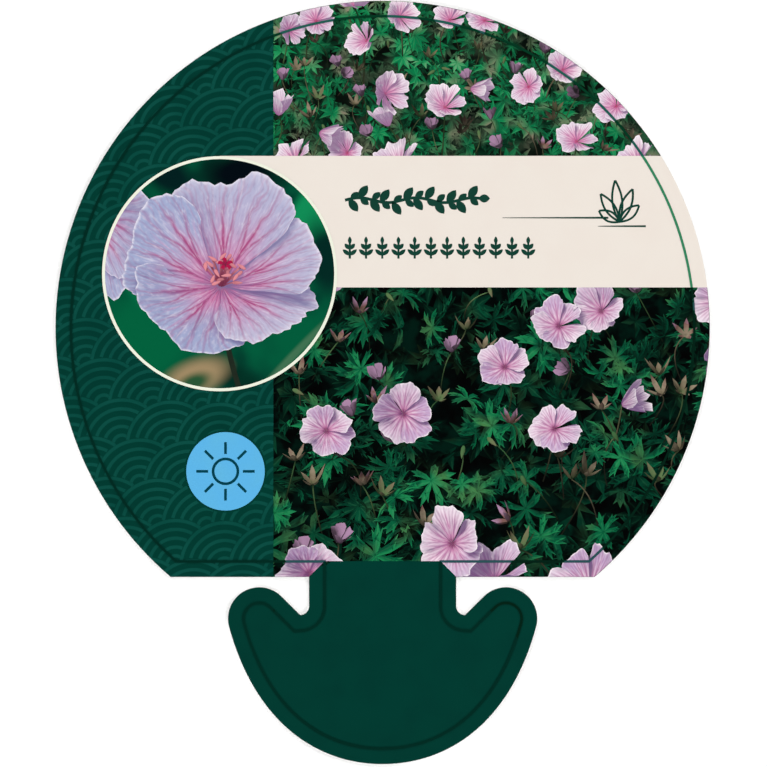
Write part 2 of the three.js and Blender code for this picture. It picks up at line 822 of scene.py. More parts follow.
    def bud(self) -> Patch:
        """Makes a closed bud, a drop with its point up.

        Returns:
            The bud, about the origin.
        """
        deselect_all()
        bpy.ops.mesh.primitive_uv_sphere_add(segments=8, ring_count=7, rotation=(math.pi / 2, 0, 0))
        ball = bpy.context.object
        bpy.ops.object.transform_apply(location=False, rotation=True, scale=False)
        patch = taken_apart(ball)
        slim = 0.42 * (1 - 0.75 * patch.table[:, ALONG] ** 2)
        patch.table[:, 0] *= slim
        patch.table[:, 2] *= slim
        return patch


# ------------------------ inks


def ink(colour: Rgb) -> tuple[float, ...]:
    """Turns a printed colour into what a node takes.

    Args:
        colour: Its red, green and blue as they look in the studio, from 0 to 255.

    Returns:
        The linear colour and its alpha.
    """
    shares = [c / 255 for c in colour]
    linear = [c / 12.92 if c <= 0.04045 else ((c + 0.055) / 1.055) ** 2.4 for c in shares]
    return (*(c / GLARE for c in linear), 1.0)


class Amount:
    """A number that differs over a material, with the usual signs for sums."""

    def __init__(self, recipe: Recipe, socket: Socket) -> None:
        """Holds the socket that gives the number."""
        self.recipe, self.socket = recipe, socket

    def __add__(self, other: Amount | float) -> Amount:
        """Returns the sum."""
        return self.recipe.calc("ADD", self, other)

    def __sub__(self, other: Amount | float) -> Amount:
        """Returns the difference."""
        return self.recipe.calc("SUBTRACT", self, other)

    def __mul__(self, other: Amount | float) -> Amount:
        """Returns the product."""
        return self.recipe.calc("MULTIPLY", self, other)

    def __truediv__(self, other: Amount | float) -> Amount:
        """Returns the quotient."""
        return self.recipe.calc("DIVIDE", self, other)

    def __abs__(self) -> Amount:
        """Returns the amount without its sign."""
        return self.recipe.calc("ABSOLUTE", self)

    def __round__(self) -> Amount:
        """Returns the nearest whole number."""
        return self.recipe.calc("ROUND", self)

    def step(self, start: float, end: float) -> Amount:
        """Returns a smooth rise from 0, where the amount is at start, to 1, where it is at end."""
        sockets = {"Value": self, "From Min": start, "From Max": end}
        return self.recipe.amount("ShaderNodeMapRange", sockets, interpolation_type="SMOOTHSTEP")


class Recipe:
    """A material put together by short calls."""

    def __init__(self, name: str) -> None:
        """Starts a material.

        Args:
            name: The material's name.
        """
        self.material = bpy.data.materials.new(name)
        self.material.use_nodes = True
        self.tree = self.material.node_tree
        self.shader = self.tree.nodes["Principled BSDF"]
        self.place = self.add("ShaderNodeTexCoord").outputs["Object"]

    def add(
        self, kind: str, sockets: dict[str | int, object] | None = None, **settings: object
    ) -> bpy.types.Node:
        """Adds a node.

        Args:
            kind: The node's kind.
            sockets: What each of its inputs gets.
            settings: Its other properties.

        Returns:
            The node.
        """
        node = self.tree.nodes.new(kind)
        for name, value in settings.items():
            setattr(node, name, value)
        self.wire(node, sockets or {})
        return node

    def wire(self, node: bpy.types.Node, sockets: dict[str | int, object]) -> None:
        """Links a node's inputs to amounts or sockets, or sets them.

        Args:
            node: The node.
            sockets: What each of its inputs gets.
        """
        for name, value in sockets.items():
            value = value.socket if isinstance(value, Amount) else value
            if isinstance(value, bpy.types.NodeSocket):
                self.tree.links.new(value, node.inputs[name])
            else:
                node.inputs[name].default_value = value

    def amount(self, kind: str, sockets: dict[str | int, object], **settings: object) -> Amount:
        """Returns what a new node gives first, as an amount."""
        return Amount(self, self.add(kind, sockets, **settings).outputs[0])

    def calc(self, operation: str, *terms: Amount | float) -> Amount:
        """Returns the result of one of the Math node's operations."""
        return self.amount("ShaderNodeMath", dict(enumerate(terms)), operation=operation)

    def noise(
        self, scale: float, detail: float, stretch: Sequence[float] = (1, 1, 1), over: object = None
    ) -> Amount:
        """Makes cloudy noise, about 0.5.

        Args:
            scale: How many clouds fit in a metre, or in one unit of what it lies over.
            detail: How many finer layers it has.
            stretch: How the pattern is scaled along each axis.
            over: The socket of the place that it lies over, or None for the object.

        Returns:
            The noise.
        """
        mapping = self.add("ShaderNodeMapping", {"Scale": stretch, "Vector": over or self.place})
        sockets = {"Vector": mapping.outputs[0], "Scale": scale, "Detail": detail}
        return self.amount("ShaderNodeTexNoise", sockets)

    def ramp(self, value: Amount, stops: Stops) -> Socket:
        """Finds a colour on a scale of colours.

        Args:
            value: Where on the scale, from 0 to 1.
            stops: The scale's places and colours.

        Returns:
            The colour's socket.
        """
        node = self.add("ShaderNodeValToRGB", {0: value})
        elements = node.color_ramp.elements
        while len(elements) < len(stops):
            elements.new(0.5)
        for element, (place, colour) in zip(elements, stops):
            element.position, element.color = place, ink(colour)
        return node.outputs[0]

    def tinted(self, colour: Rgb | Socket, *tints: tuple[Amount, Rgb]) -> Socket:
        """Leans a colour to others, one after the other.

        Args:
            colour: The first colour, or its socket.
            tints: The share of each other colour, and that colour.

        Returns:
            The last colour's socket.
        """
        colour = ink(colour) if isinstance(colour, tuple) else colour
        for share, tint in tints:
            sockets = {0: share, 6: colour, 7: ink(tint)}
            colour = self.add("ShaderNodeMix", sockets, data_type="RGBA").outputs[2]
        return colour

    def grain(self) -> tuple[Amount, Amount, Amount, Socket]:
        """Reads the grain of a picture's forms.

        Returns:
            How far a point lies across and along its leaf or petal, its tone, and all three as one.
        """
        grain = self.add("ShaderNodeAttribute", attribute_name="grain").outputs["Vector"]
        parts = self.add("ShaderNodeSeparateXYZ", {0: grain}).outputs
        return (*(Amount(self, part) for part in parts), grain)

    def light(self) -> Amount:
        """Returns how brightly a point of a picture is lit."""
        return Amount(self, self.add("ShaderNodeAttribute", attribute_name="light").outputs["Fac"])

    def skinned(self, rough: Amount | float, gloss: float, bump: float, bumps: Amount) -> None:
        """Gives the material its gloss and a faintly uneven skin.

        Args:
            rough: Its roughness.
            gloss: How strongly it mirrors.
            bump: How strong its unevenness is.
            bumps: The height of its unevenness.
        """
        skin = {"Strength": bump, "Distance": 0.02 * MM, "Height": bumps}
        normal = self.add("ShaderNodeBump", skin).outputs[0]
        sockets = {"Roughness": rough, "Specular IOR Level": gloss, "Normal": normal}
        self.wire(self.shader, sockets)


@dataclass(frozen=True)
class Ink:
    """A printed finish under a satin laminate. Each kind of ink mixes its own colour."""

    name: str

    def mix(self, recipe: Recipe) -> Socket:
        """Returns the socket of the ink's colour."""
        raise NotImplementedError

    def skin(self, recipe: Recipe) -> None:
        """Lays the laminate over the colour."""
        recipe.skinned(rough=0.3, gloss=0.07, bump=0.05, bumps=recipe.noise(1500, 3.0))

    def material(self) -> bpy.types.Material:
        """Makes the finish, or finds it again.

        Returns:
            The material.
        """
        made = bpy.data.materials.get(self.name)
        if made:
            return made
        recipe = Recipe(self.name)
        recipe.wire(recipe.shader, {"Base Color": self.mix(recipe)})
        self.skin(recipe)
        return recipe.material


@dataclass(frozen=True)
class SolidInk(Ink):
    """An even printed colour, with the faint cloudiness of a laid-down ink."""

    colour: Rgb
    clouded: Rgb  # the colour that its clouds lean to

    def mix(self, recipe: Recipe) -> Socket:
        """Returns the socket of the ink's colour."""
        return recipe.tinted(self.colour, (recipe.noise(260, 4.0).step(0.35, 0.75), self.clouded))


@dataclass(frozen=True)
class SheetPlastic(SolidInk):
    """Rigid white plastic, without a laminate, that leans to another white where it was handled."""

    def mix(self, recipe: Recipe) -> Socket:
        """Returns the socket of the plastic's colour."""
        share = recipe.noise(45, 5.0).step(0.42, 0.8) * 0.5
        return recipe.tinted(self.colour, (share, self.clouded))

    def skin(self, recipe: Recipe) -> None:
        """Roughens the plastic by fine scuffs."""
        rough = recipe.noise(700, 4.0, (1, 0.08, 1)).step(0.5, 0.75) * 0.12 + 0.38
        recipe.skinned(rough, gloss=0.4, bump=0.12, bumps=recipe.noise(1100, 4.0))


@dataclass(frozen=True)
class LeafInk(Ink):
    """Pictured leaves, from near black in the shade to light green in the sun."""

    shades: Stops  # the greens by light
    rib: Rgb  # the midribs' colour
    warm: Rgb  # the colour that the sunniest leaves lean to
    warmth: float  # how far they lean to it

    def mix(self, recipe: Recipe) -> Socket:
        """Mixes the leaves' colour from their light and tone.

        Args:
            recipe: The material being made.

        Returns:
            The colour's socket.
        """
        across, _, tone, _ = recipe.grain()
        mottle = (recipe.noise(800, 3.0) - 0.5) * 0.3
        lit = recipe.light() * (tone + (mottle + 0.32))
        warmth = recipe.noise(300, 1.0).step(0.48, 0.74) * self.warmth * lit
        shine = abs(across).step(0.3, 0.04) * (lit * 0.4)
        return recipe.tinted(recipe.ramp(lit, self.shades), (warmth, self.warm), (shine, self.rib))


@dataclass(frozen=True)
class StemInk(Ink):
    """Pictured stems, buds and dried calyces, from green to reddish brown by tone."""

    hues: Stops  # the colours by tone
    shade: Rgb  # the colour of their shaded side

    def mix(self, recipe: Recipe) -> Socket:
        """Mixes the stems' colour from their tone and light.

        Args:
            recipe: The material being made.

        Returns:
            The colour's socket.
        """
        _, along, tone, _ = recipe.grain()
        hue = tone + (recipe.noise(1300, 3.0) - 0.5) * 0.3 + along * 0.3
        dark = recipe.light().step(0.95, 0.05) * 0.97
        return recipe.tinted(recipe.ramp(hue, self.hues), (dark, self.shade))


# For each kind of fork: where along the petal it leaves its vein and where it stands clear of it,
# how many of its lanes lie in a main one, and its width and strength in those of a main vein.
VEIN_FORKS = ((0.12, 0.75, 1, 0.85, 0.8), (0.45, 1, 3, 0.6, 0.45))


@dataclass(frozen=True)
class PetalInk(Ink):
    """Pictured petals, pale pink with deeper veins that fork towards the edge."""

    body: Stops  # the petal's colours from its claw to its edge
    cool: Rgb  # the lavender that some petals lean to
    coolness: float  # how far they lean to it
    flush: Rgb  # the pink that spreads beside the veins near the claw
    vein: Rgb
    shade: Rgb  # the colour that shaded parts lean to
    rim: Rgb  # the colour of the outermost edge, and of the light streaks
    lanes: float  # how many main veins run on each side of the middle
    vein_width: float  # half of it, as a share of the space between main veins
    vein_strength: float  # at the claw
    vein_fade: float  # how strongly the veins are still printed at the edge
    rim_start: float  # where along the petal the pale edge starts
    crinkle: float  # how many small crinkles lie across half a petal
    lit_from: float = 0.9  # the light from which no shade is left
    eye: float = 0.0  # how far along the petal the dark eye round the claw reaches

    def veins(self, recipe: Recipe, across: Amount, along: Amount) -> tuple[Amount, Amount]:
        """Draws the veins.

        A main vein lies in each lane. On each side of it one more leaves it on the way out, and
        those fork again near the edge. A vein keeps its width while its lane grows.

        Args:
            recipe: The material being made.
            across: How far across the petal a point lies, from -1 to 1.
            along: How far along the petal it lies, from 0 to 1.

        Returns:
            How strongly the veins are printed, and how near the main ones are, each from 0 to 1.
        """
        sway = (recipe.noise(240, 2.0) - 0.5) * 0.5 * (along + 0.15)
        lane = across * self.lanes + sway
        wide = along * 0.85 + 0.15
        off = abs(lane - round(lane))
        near = off.step(0.36, 0.0)
        best = (off * wide).step(self.vein_width, 0.0)
        for leaves, apart, finer, width, strength in VEIN_FORKS:
            cell = lane * finer
            off = abs(abs(cell - round(cell)) - along.step(leaves, apart) * (1 / 3))
            line = (off / finer * wide).step(self.vein_width * width, 0.0) * strength
            best = recipe.calc("MAXIMUM", best, line)
        fade = along.step(1.0, 0.35) * (self.vein_strength - self.vein_fade) + self.vein_fade
        return best * fade, near

    def mix(self, recipe: Recipe) -> Socket:
        """Mixes the petals' colour, from the body's over the veins to the shade on top.

        Args:
            recipe: The material being made.

        Returns:
            The colour's socket.
        """
        across, along, tone, grain = recipe.grain()
        veins, near = self.veins(recipe, across, along)
        streaks = recipe.noise(1.0, 3.0, (26, 2.2, 7), grain)
        crinkles = recipe.noise(1.0, 3.0, (self.crinkle, 0.5 * self.crinkle, 7), grain)
        crease = (recipe.noise(1.0, 3.0, (9, 3, 7), grain) - 0.5) * 0.7
        return recipe.tinted(
            recipe.ramp(along, self.body),
            (along.step(0.2, 0.75) * self.coolness * tone, self.cool),
            (near * (along.step(0.9, 0.2) * 0.85), self.flush),
            (streaks.step(0.55, 0.8) * 0.55, self.flush),
            (streaks.step(0.45, 0.2) * 0.6, self.rim),
            (veins, self.vein),
            (along.step(self.eye, 0.02) * (0.8 if self.eye else 0.0), self.body[0][1]),
            (crinkles.step(0.5, 0.75) * 0.4, self.rim),
            (crinkles.step(0.46, 0.25) * 0.24, self.shade),
            (along.step(self.rim_start, 0.998) * crinkles.step(0.3, 0.56), self.rim),
            ((recipe.light() + crease).step(self.lit_from, 0.15) * 0.85, self.shade),
        )


NEAR_LEAF = LeafInk(
    "printed_near_leaves",
    shades=(
        (0.0, (0, 0, 0)), (0.08, (0, 12, 8)), (0.24, (2, 50, 34)),
        (0.42, (6, 76, 50)), (0.7, (8, 98, 61)), (1.0, (28, 130, 78)),
    ),
    rib=(66, 142, 96),
    warm=(92, 116, 62),
    warmth=0.45,
)
FAR_LEAF = LeafInk(
    "printed_far_leaves",
    shades=(
        (0.0, (0, 18, 10)), (0.1, (10, 54, 34)), (0.26, (12, 98, 60)),
        (0.5, (10, 124, 73)), (0.75, (34, 146, 88)), (1.0, (100, 166, 116)),
    ),
    rib=(104, 164, 116),
    warm=(158, 118, 114),
    warmth=1.3,
)
GARDEN_STEM = StemInk(
    "printed_garden_stems",
    hues=(
        (0.0, (54, 104, 62)), (0.35, (98, 124, 80)), (0.55, (124, 112, 88)),
        (0.7, (152, 138, 116)), (0.85, (132, 94, 88)), (1.0, (178, 140, 172)),
    ),
    shade=(6, 14, 8),
)
STAMEN_INK = StemInk(
    "printed_stamens",
    hues=(
        (0.0, (176, 22, 72)), (0.2, (196, 54, 96)), (0.3, (34, 46, 34)), (0.5, (30, 38, 30)),
        (0.6, (206, 96, 134)), (0.85, (218, 116, 138)), (1.0, (230, 144, 152)),
    ),
    shade=(112, 40, 70),
)
NEAR_PETAL = PetalInk(
    "printed_near_petals",
    body=(
        (0.0, (112, 34, 76)), (0.09, (156, 58, 106)), (0.19, (214, 142, 180)),
        (0.34, (235, 197, 219)), (0.75, (249, 226, 238)), (1.0, (255, 249, 252)),
    ),
    cool=(184, 150, 198),
    coolness=0.8,
    flush=(228, 166, 198),
    vein=(170, 88, 146),
    shade=(92, 62, 110),
    rim=(254, 244, 248),
    lanes=1.9,
    vein_width=0.11,
    vein_strength=0.75,
    vein_fade=0.35,
    rim_start=0.94,
    crinkle=9.0,
    lit_from=1.02,
    eye=0.2,
)
FAR_PETAL = replace(
    NEAR_PETAL,
    name="printed_far_petals",
    body=(
        (0.0, (180, 36, 90)), (0.12, (204, 84, 134)), (0.28, (228, 150, 186)),
        (0.5, (242, 200, 220)), (0.8, (252, 238, 245)), (1.0, (255, 252, 253)),
    ),
    coolness=0.4,
    flush=(224, 140, 180),
    shade=(128, 94, 134),
    lit_from=0.95,
    eye=0.14,
)
PORTRAIT_PETAL = PetalInk(
    "printed_portrait_petals",
    body=(
        (0.0, (150, 128, 122)), (0.07, (178, 80, 122)), (0.15, (206, 108, 158)),
        (0.32, (204, 148, 187)), (0.6, (196, 174, 205)), (0.9, (197, 190, 215)),
        (1.0, (218, 210, 228)),
    ),
    cool=(160, 170, 206),
    coolness=0.95,
    flush=(214, 138, 180),
    vein=(164, 52, 114),
    shade=(110, 104, 150),
    rim=(226, 222, 236),
    lanes=1.7,
    vein_width=0.055,
    vein_strength=0.95,
    vein_fade=0.3,
    rim_start=0.965,
    crinkle=26.0,
)


@dataclass(frozen=True)
class SoftSpot:
    """One soft shape in a garden that is far out of focus."""

    at: Pair  # its middle, from the picture's
    radii: Pair
    turn: float
    colour: Rgb
    blur: float  # how wide its soft edge is, as a share of its size


@dataclass(frozen=True)
class SoftGardenInk(Ink):
    """A garden out of focus, as clouds of green with soft shapes on them."""

    greens: Stops  # the colours from the darkest cloud to the lightest
    scale: float  # how many clouds fit in a metre
    middle: Pair = (0.0, 0.0)
    spots: tuple[SoftSpot, ...] = ()  # the soft shapes, from the furthest to the nearest

    def inside(self, recipe: Recipe, spot: SoftSpot) -> Amount:
        """Finds how far a point lies inside a soft shape.

        Args:
            recipe: The material being made.
            spot: The shape.

        Returns:
            The share from 0, outside its soft edge, to 1.
        """
        x, y = np.add(spot.at, self.middle) * MM
        sockets = {
            "Location": (x, y, 0),
            "Rotation": (0, 0, spot.turn),
            "Scale": (spot.radii[0] * MM, spot.radii[1] * MM, 1),
            "Vector": recipe.place,
        }
        mapping = recipe.add("ShaderNodeMapping", sockets, vector_type="TEXTURE")
        length = recipe.add("ShaderNodeVectorMath", {0: mapping.outputs[0]}, operation="LENGTH")
        return Amount(recipe, length.outputs["Value"]).step(1 + spot.blur, 1 - spot.blur)

    def mix(self, recipe: Recipe) -> Socket:
        """Returns the socket of the garden's colour, with the soft shapes on the clouds."""
        colour = recipe.ramp(recipe.noise(self.scale, 2.0).step(0.28, 0.72), self.greens)
        return recipe.tinted(colour, *((self.inside(recipe, s), s.colour) for s in self.spots))


@dataclass(frozen=True)
class FrameLineInk(Ink):
    """The frame line's ink, which prints in another green on each ground."""

    greens: Stops

    def mix(self, recipe: Recipe) -> Socket:
        """Returns the socket of the green for a point's tone."""
        return recipe.ramp(recipe.grain()[2], self.greens)


class LineTone(float, Enum):
    """The frame line's tones by the ground that it is printed on."""

    GREEN = 0.0
    NEAR_LEAVES = 0.25
    FAR_LEAVES = 0.5
    NEAR_BLOOMS = 0.75
    FAR_BLOOMS = 0.88
    BAND = 1.0


FRAME_LINE_INK = FrameLineInk(
    "printed_frame_line",
    greens=(
        (LineTone.GREEN, (0, 43, 34)),
        (LineTone.NEAR_LEAVES, (2, 34, 22)),
        (LineTone.FAR_LEAVES, (3, 56, 34)),
        (LineTone.NEAR_BLOOMS, (44, 80, 86)),
        (LineTone.FAR_BLOOMS, (34, 90, 82)),
        (LineTone.BAND, (52, 130, 92)),
    ),
)
WHITE_PLASTIC = SheetPlastic("white_rigid_plastic", (246, 245, 240), (232, 230, 222))
PANEL_GREEN = SolidInk("printed_dark_green", (0, 58, 48), (0, 55, 46))
PATTERN_GREEN = SolidInk("printed_pattern_green", (10, 76, 66), (5, 70, 60))
TITLE_CREAM = SolidInk("printed_cream", (238, 229, 219), (237, 227, 217))
RING_CREAM = SolidInk("printed_pale_cream", (241, 244, 226), (238, 240, 222))
TITLE_DARK = SolidInk("printed_title_green", (18, 62, 50), (22, 66, 54))
BADGE_BLUE = SolidInk("printed_sky_blue", (93, 181, 232), (97, 183, 226))
BADGE_DARK = SolidInk("printed_badge_line", (0, 64, 78), (0, 60, 72))
NEAR_SHADE = SoftGardenInk(
    "printed_near_shade", ((0.0, (0, 0, 0)), (0.5, (0, 5, 4)), (1.0, (0, 26, 18))), scale=420
)
FAR_SHADE = SoftGardenInk(
    "printed_far_shade", ((0.0, (2, 7, 4)), (0.5, (9, 19, 12)), (1.0, (40, 54, 40))), scale=420
)
PORTRAIT_GROUND = SoftGardenInk(
    "printed_soft_garden",
    ((0.0, (0, 36, 28)), (0.5, (0, 64, 46)), (1.0, (0, 92, 60))),
    scale=150,
    middle=LAYOUT.portrait,
    spots=(
        SoftSpot((-9.0, -8.0), (8.0, 6.0), 0.6, (0, 96, 60), 0.5),
        SoftSpot((10.5, -8.5), (5.5, 4.0), -0.6, (0, 90, 58), 0.5),
        SoftSpot((-11.8, 4.5), (1.9, 7.5), 0.25, (4, 118, 74), 0.35),
        SoftSpot((11.6, 7.2), (5.6, 2.6), 1.0, (14, 138, 84), 0.3),
        SoftSpot((9.6, -9.8), (6.0, 0.45), 0.8, (64, 112, 80), 0.6),
        SoftSpot((2.5, 12.6), (4.6, 2.6), 0.1, (0, 8, 16), 0.6),
        SoftSpot((-6.6, 12.4), (3.6, 2.0), -0.5, (0, 30, 30), 0.5),
        SoftSpot((13.2, 1.6), (2.2, 4.6), 0.2, (0, 40, 34), 0.6),
        SoftSpot((-3.0, -12.9), (3.8, 1.9), 0.35, (158, 136, 100), 0.5),
        SoftSpot((-3.2, -13.6), (2.0, 1.0), 0.35, (40, 84, 52), 0.6),
    ),
)


# ------------------------ sub-assemblies


@dataclass
class CutSheet:
    """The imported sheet, and the films that lie on it."""

    node: Piece  # the CAD node's object
    rim_rise: float = 0.2  # how far a normal rises where a film ends on the eased rim
    flat_rise: float = 0.999  # how far it rises, at the least, on the flat of the face

    @property
    def face(self) -> float:
        """The height of the sheet's face, in millimetres."""
        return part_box(SHEET_NODE)[1].z / MM

    def dress(self) -> None:
        """Gives the sheet its plastic."""
        self.node.data.materials.clear()
        self.node.data.materials.append(WHITE_PLASTIC.material())
        LOG.info("%s dressed", self.node.name)

    def film(self, name: str, height: Film) -> Piece:
        """Makes a film that covers the whole face and turns down over its eased rim.

        Args:
            name: The film's name.
            height: Its height above the face.

        Returns:
            The film, as a new object.
        """
        film = linked(name, self.node.data.copy())
        with editing(film):
            bpy.ops.mesh.remove_doubles(threshold=WELD)
            mesh = bmesh.from_edit_mesh(film.data)
            mesh.normal_update()
            for part in mesh.faces:
                part.select_set(part.normal.z < self.rim_rise)
            bmesh.update_edit_mesh(film.data)
            bpy.ops.mesh.delete(type="FACE")
            bpy.ops.mesh.select_all(action="SELECT")
            bpy.ops.transform.translate(value=(0, 0, height * MM))
        return film

    def disc(self, name: str, centre: Pair, radius: float, height: Film, sides: int) -> Piece:
        """Makes a flat round film.

        Args:
            name: The film's name.
            centre: Its centre.
            radius: Its radius.
            height: Its height above the face.
            sides: How many sides stand for its round edge.

        Returns:
            The film, as a new object.
        """
        deselect_all()
        bpy.ops.mesh.primitive_circle_add(
            vertices=sides,
            radius=radius * MM,
            fill_type="NGON",
            location=(centre[0] * MM, centre[1] * MM, (self.face + height) * MM),
        )
        disc = bpy.context.object
        disc.name = disc.data.name = name
        bpy.ops.object.transform_apply(location=True, rotation=True, scale=True)
        return disc

    def picture(
        self,
        lit: Patch,
        low: Film,
        high: Film,
        parts: dict[str, tuple[Patch, Ink]],
        *regions: Field,
    ) -> Piece:
        """Presses a lit picture flat and makes a piece of each of its parts.

        Args:
            lit: All parts in one patch, lit.
            low: The height that its lowest point goes to.
            high: The height that its highest point goes to.
            parts: The parts by name, in the same order, each with its ink.
            regions: The fields of the picture's outline.

        Returns:
            The last part's piece.
        """
        flat = lit.pressed(low, high)
        start, first = 0, 0
        for name, (part, finish) in parts.items():
            end, last = start + len(part.table), first + len(part.faces)
            own = Patch(flat.table[start:end], flat.faces[first:last] - start).trimmed(*regions)
            piece = own.printed(f"{name}_print", self.face, finish, Slot.PICTURE)
            start, first = end, last
        return piece

    def edge(self) -> Rows:
        """Finds the edge of the flat of the face.

        Returns:
            The points round it, in order, in millimetres.
        """
        mesh = bmesh.new()
        mesh.from_mesh(self.node.data)
        bmesh.ops.remove_doubles(mesh, verts=mesh.verts, dist=WELD)
        flat = {part for part in mesh.faces if part.normal.z > self.flat_rise}
        beside: dict[int, list[int]] = {}
        for edge in mesh.edges:
            if sum(part in flat for part in edge.link_faces) == 1:
                one, two = (corner.index for corner in edge.verts)
                beside.setdefault(one, []).append(two)
                beside.setdefault(two, []).append(one)
        mesh.verts.ensure_lookup_table()
        order = [next(iter(beside))]
        while len(order) < len(beside):
            order.append(next(i for i in beside[order[-1]] if i not in order[-2:]))
        loop = np.array([mesh.verts[i].co[:2] for i in order]) / MM
        mesh.free()
        return loop


@dataclass
class GreenGround:
    """The dark green that covers the whole face, and the fan pattern on its side panel."""

    sheet: CutSheet
    fan_radius: float = 5.5
    fan_lines: int = 5
    line_width: float = 0.42
    fan_sweep: Pair = (-0.15 * math.pi, 1.15 * math.pi)  # the angles between which its lines run
    lean: float = math.radians(24)  # of the rows of fans
    middle: Pair = (-27.0, 0.0)  # of the lattice of fans
    cover: Pair = (24.0, 44.0)  # how far from its middle the lattice reaches each way

    def fan(self, centre: Rows, fronts: Rows) -> list[Patch]:
        """Draws one fan's lines, ended where the fans in front cover them.

        Args:
            centre: The fan's centre.
            fronts: The centres of the fans in front of it.

        Returns:
            A strip for each visible stretch of line.
        """
        strips = []
        angles = np.linspace(*self.fan_sweep, 80) + self.lean
        for number in range(1, self.fan_lines + 1):
            line = on_circle(centre, self.fan_radius * number / self.fan_lines, angles)
            gaps = np.linalg.norm(line[:, None] - fronts, axis=2).min(1)
            shown = np.diff(np.r_[0, gaps > self.fan_radius + 0.2, 0])
            for a, b in zip(np.flatnonzero(shown == 1), np.flatnonzero(shown == -1)):
                if b - a > 2:
                    strips.append(level_ribbon(line[a:b], self.line_width / 2))
        return strips

    def pattern(self) -> Patch:
        """Draws the pattern.

        Returns:
            All of its strips, trimmed to the side panel.
        """
        right = way(self.lean)
        up = np.array((-right[1], right[0]))
        step = self.fan_radius
        fronts = np.array([-step * right - step / 2 * up, step * right - step / 2 * up, -step * up])
        strips = []
        for row in range(-14, 15):
            for column in range(-6, 7):
                out = right * step * (2 * column + row % 2) + up * step / 2 * row
                if (np.abs(out) < self.cover).all():
                    strips += self.fan(out + self.middle, out + self.middle + fronts)
        patch = Patch.joined(strips)
        patch.table[:, DEPTH] = Film.PATTERN
        return patch.trimmed(
            DISC,
            outside(IN_PICTURE),
            above(LAYOUT.straight_edge),
            outside(inside_circle(LAYOUT.portrait, LAYOUT.portrait_radius - 0.3)),
            outside(inside_circle(LAYOUT.badge, LAYOUT.badge_radius + 0.25)),
        )

    def build(self) -> None:
        """Builds the ground and its pattern."""
        finish_piece(self.sheet.film("green_ground_print", Film.GROUND), PANEL_GREEN, Slot.GREEN)
        self.pattern().printed("fan_pattern_print", self.sheet.face, PATTERN_GREEN, Slot.GREEN)


def lens(at: Sequence[float], length: float, half_width: float, heading: float) -> Patch:
    """Draws one pointed oval.

    Args:
        at: Its root.
        length: Its length.
        half_width: Half its width.
        heading: Its direction from +X, in degrees.

    Returns:
        The oval.
    """
    share = np.linspace(0, 1, 11)
    path = np.asarray(at) + share[:, None] * length * way(math.radians(heading))
    return level_ribbon(path, half_width * np.sin(math.pi * share) ** 0.8 + 0.01)


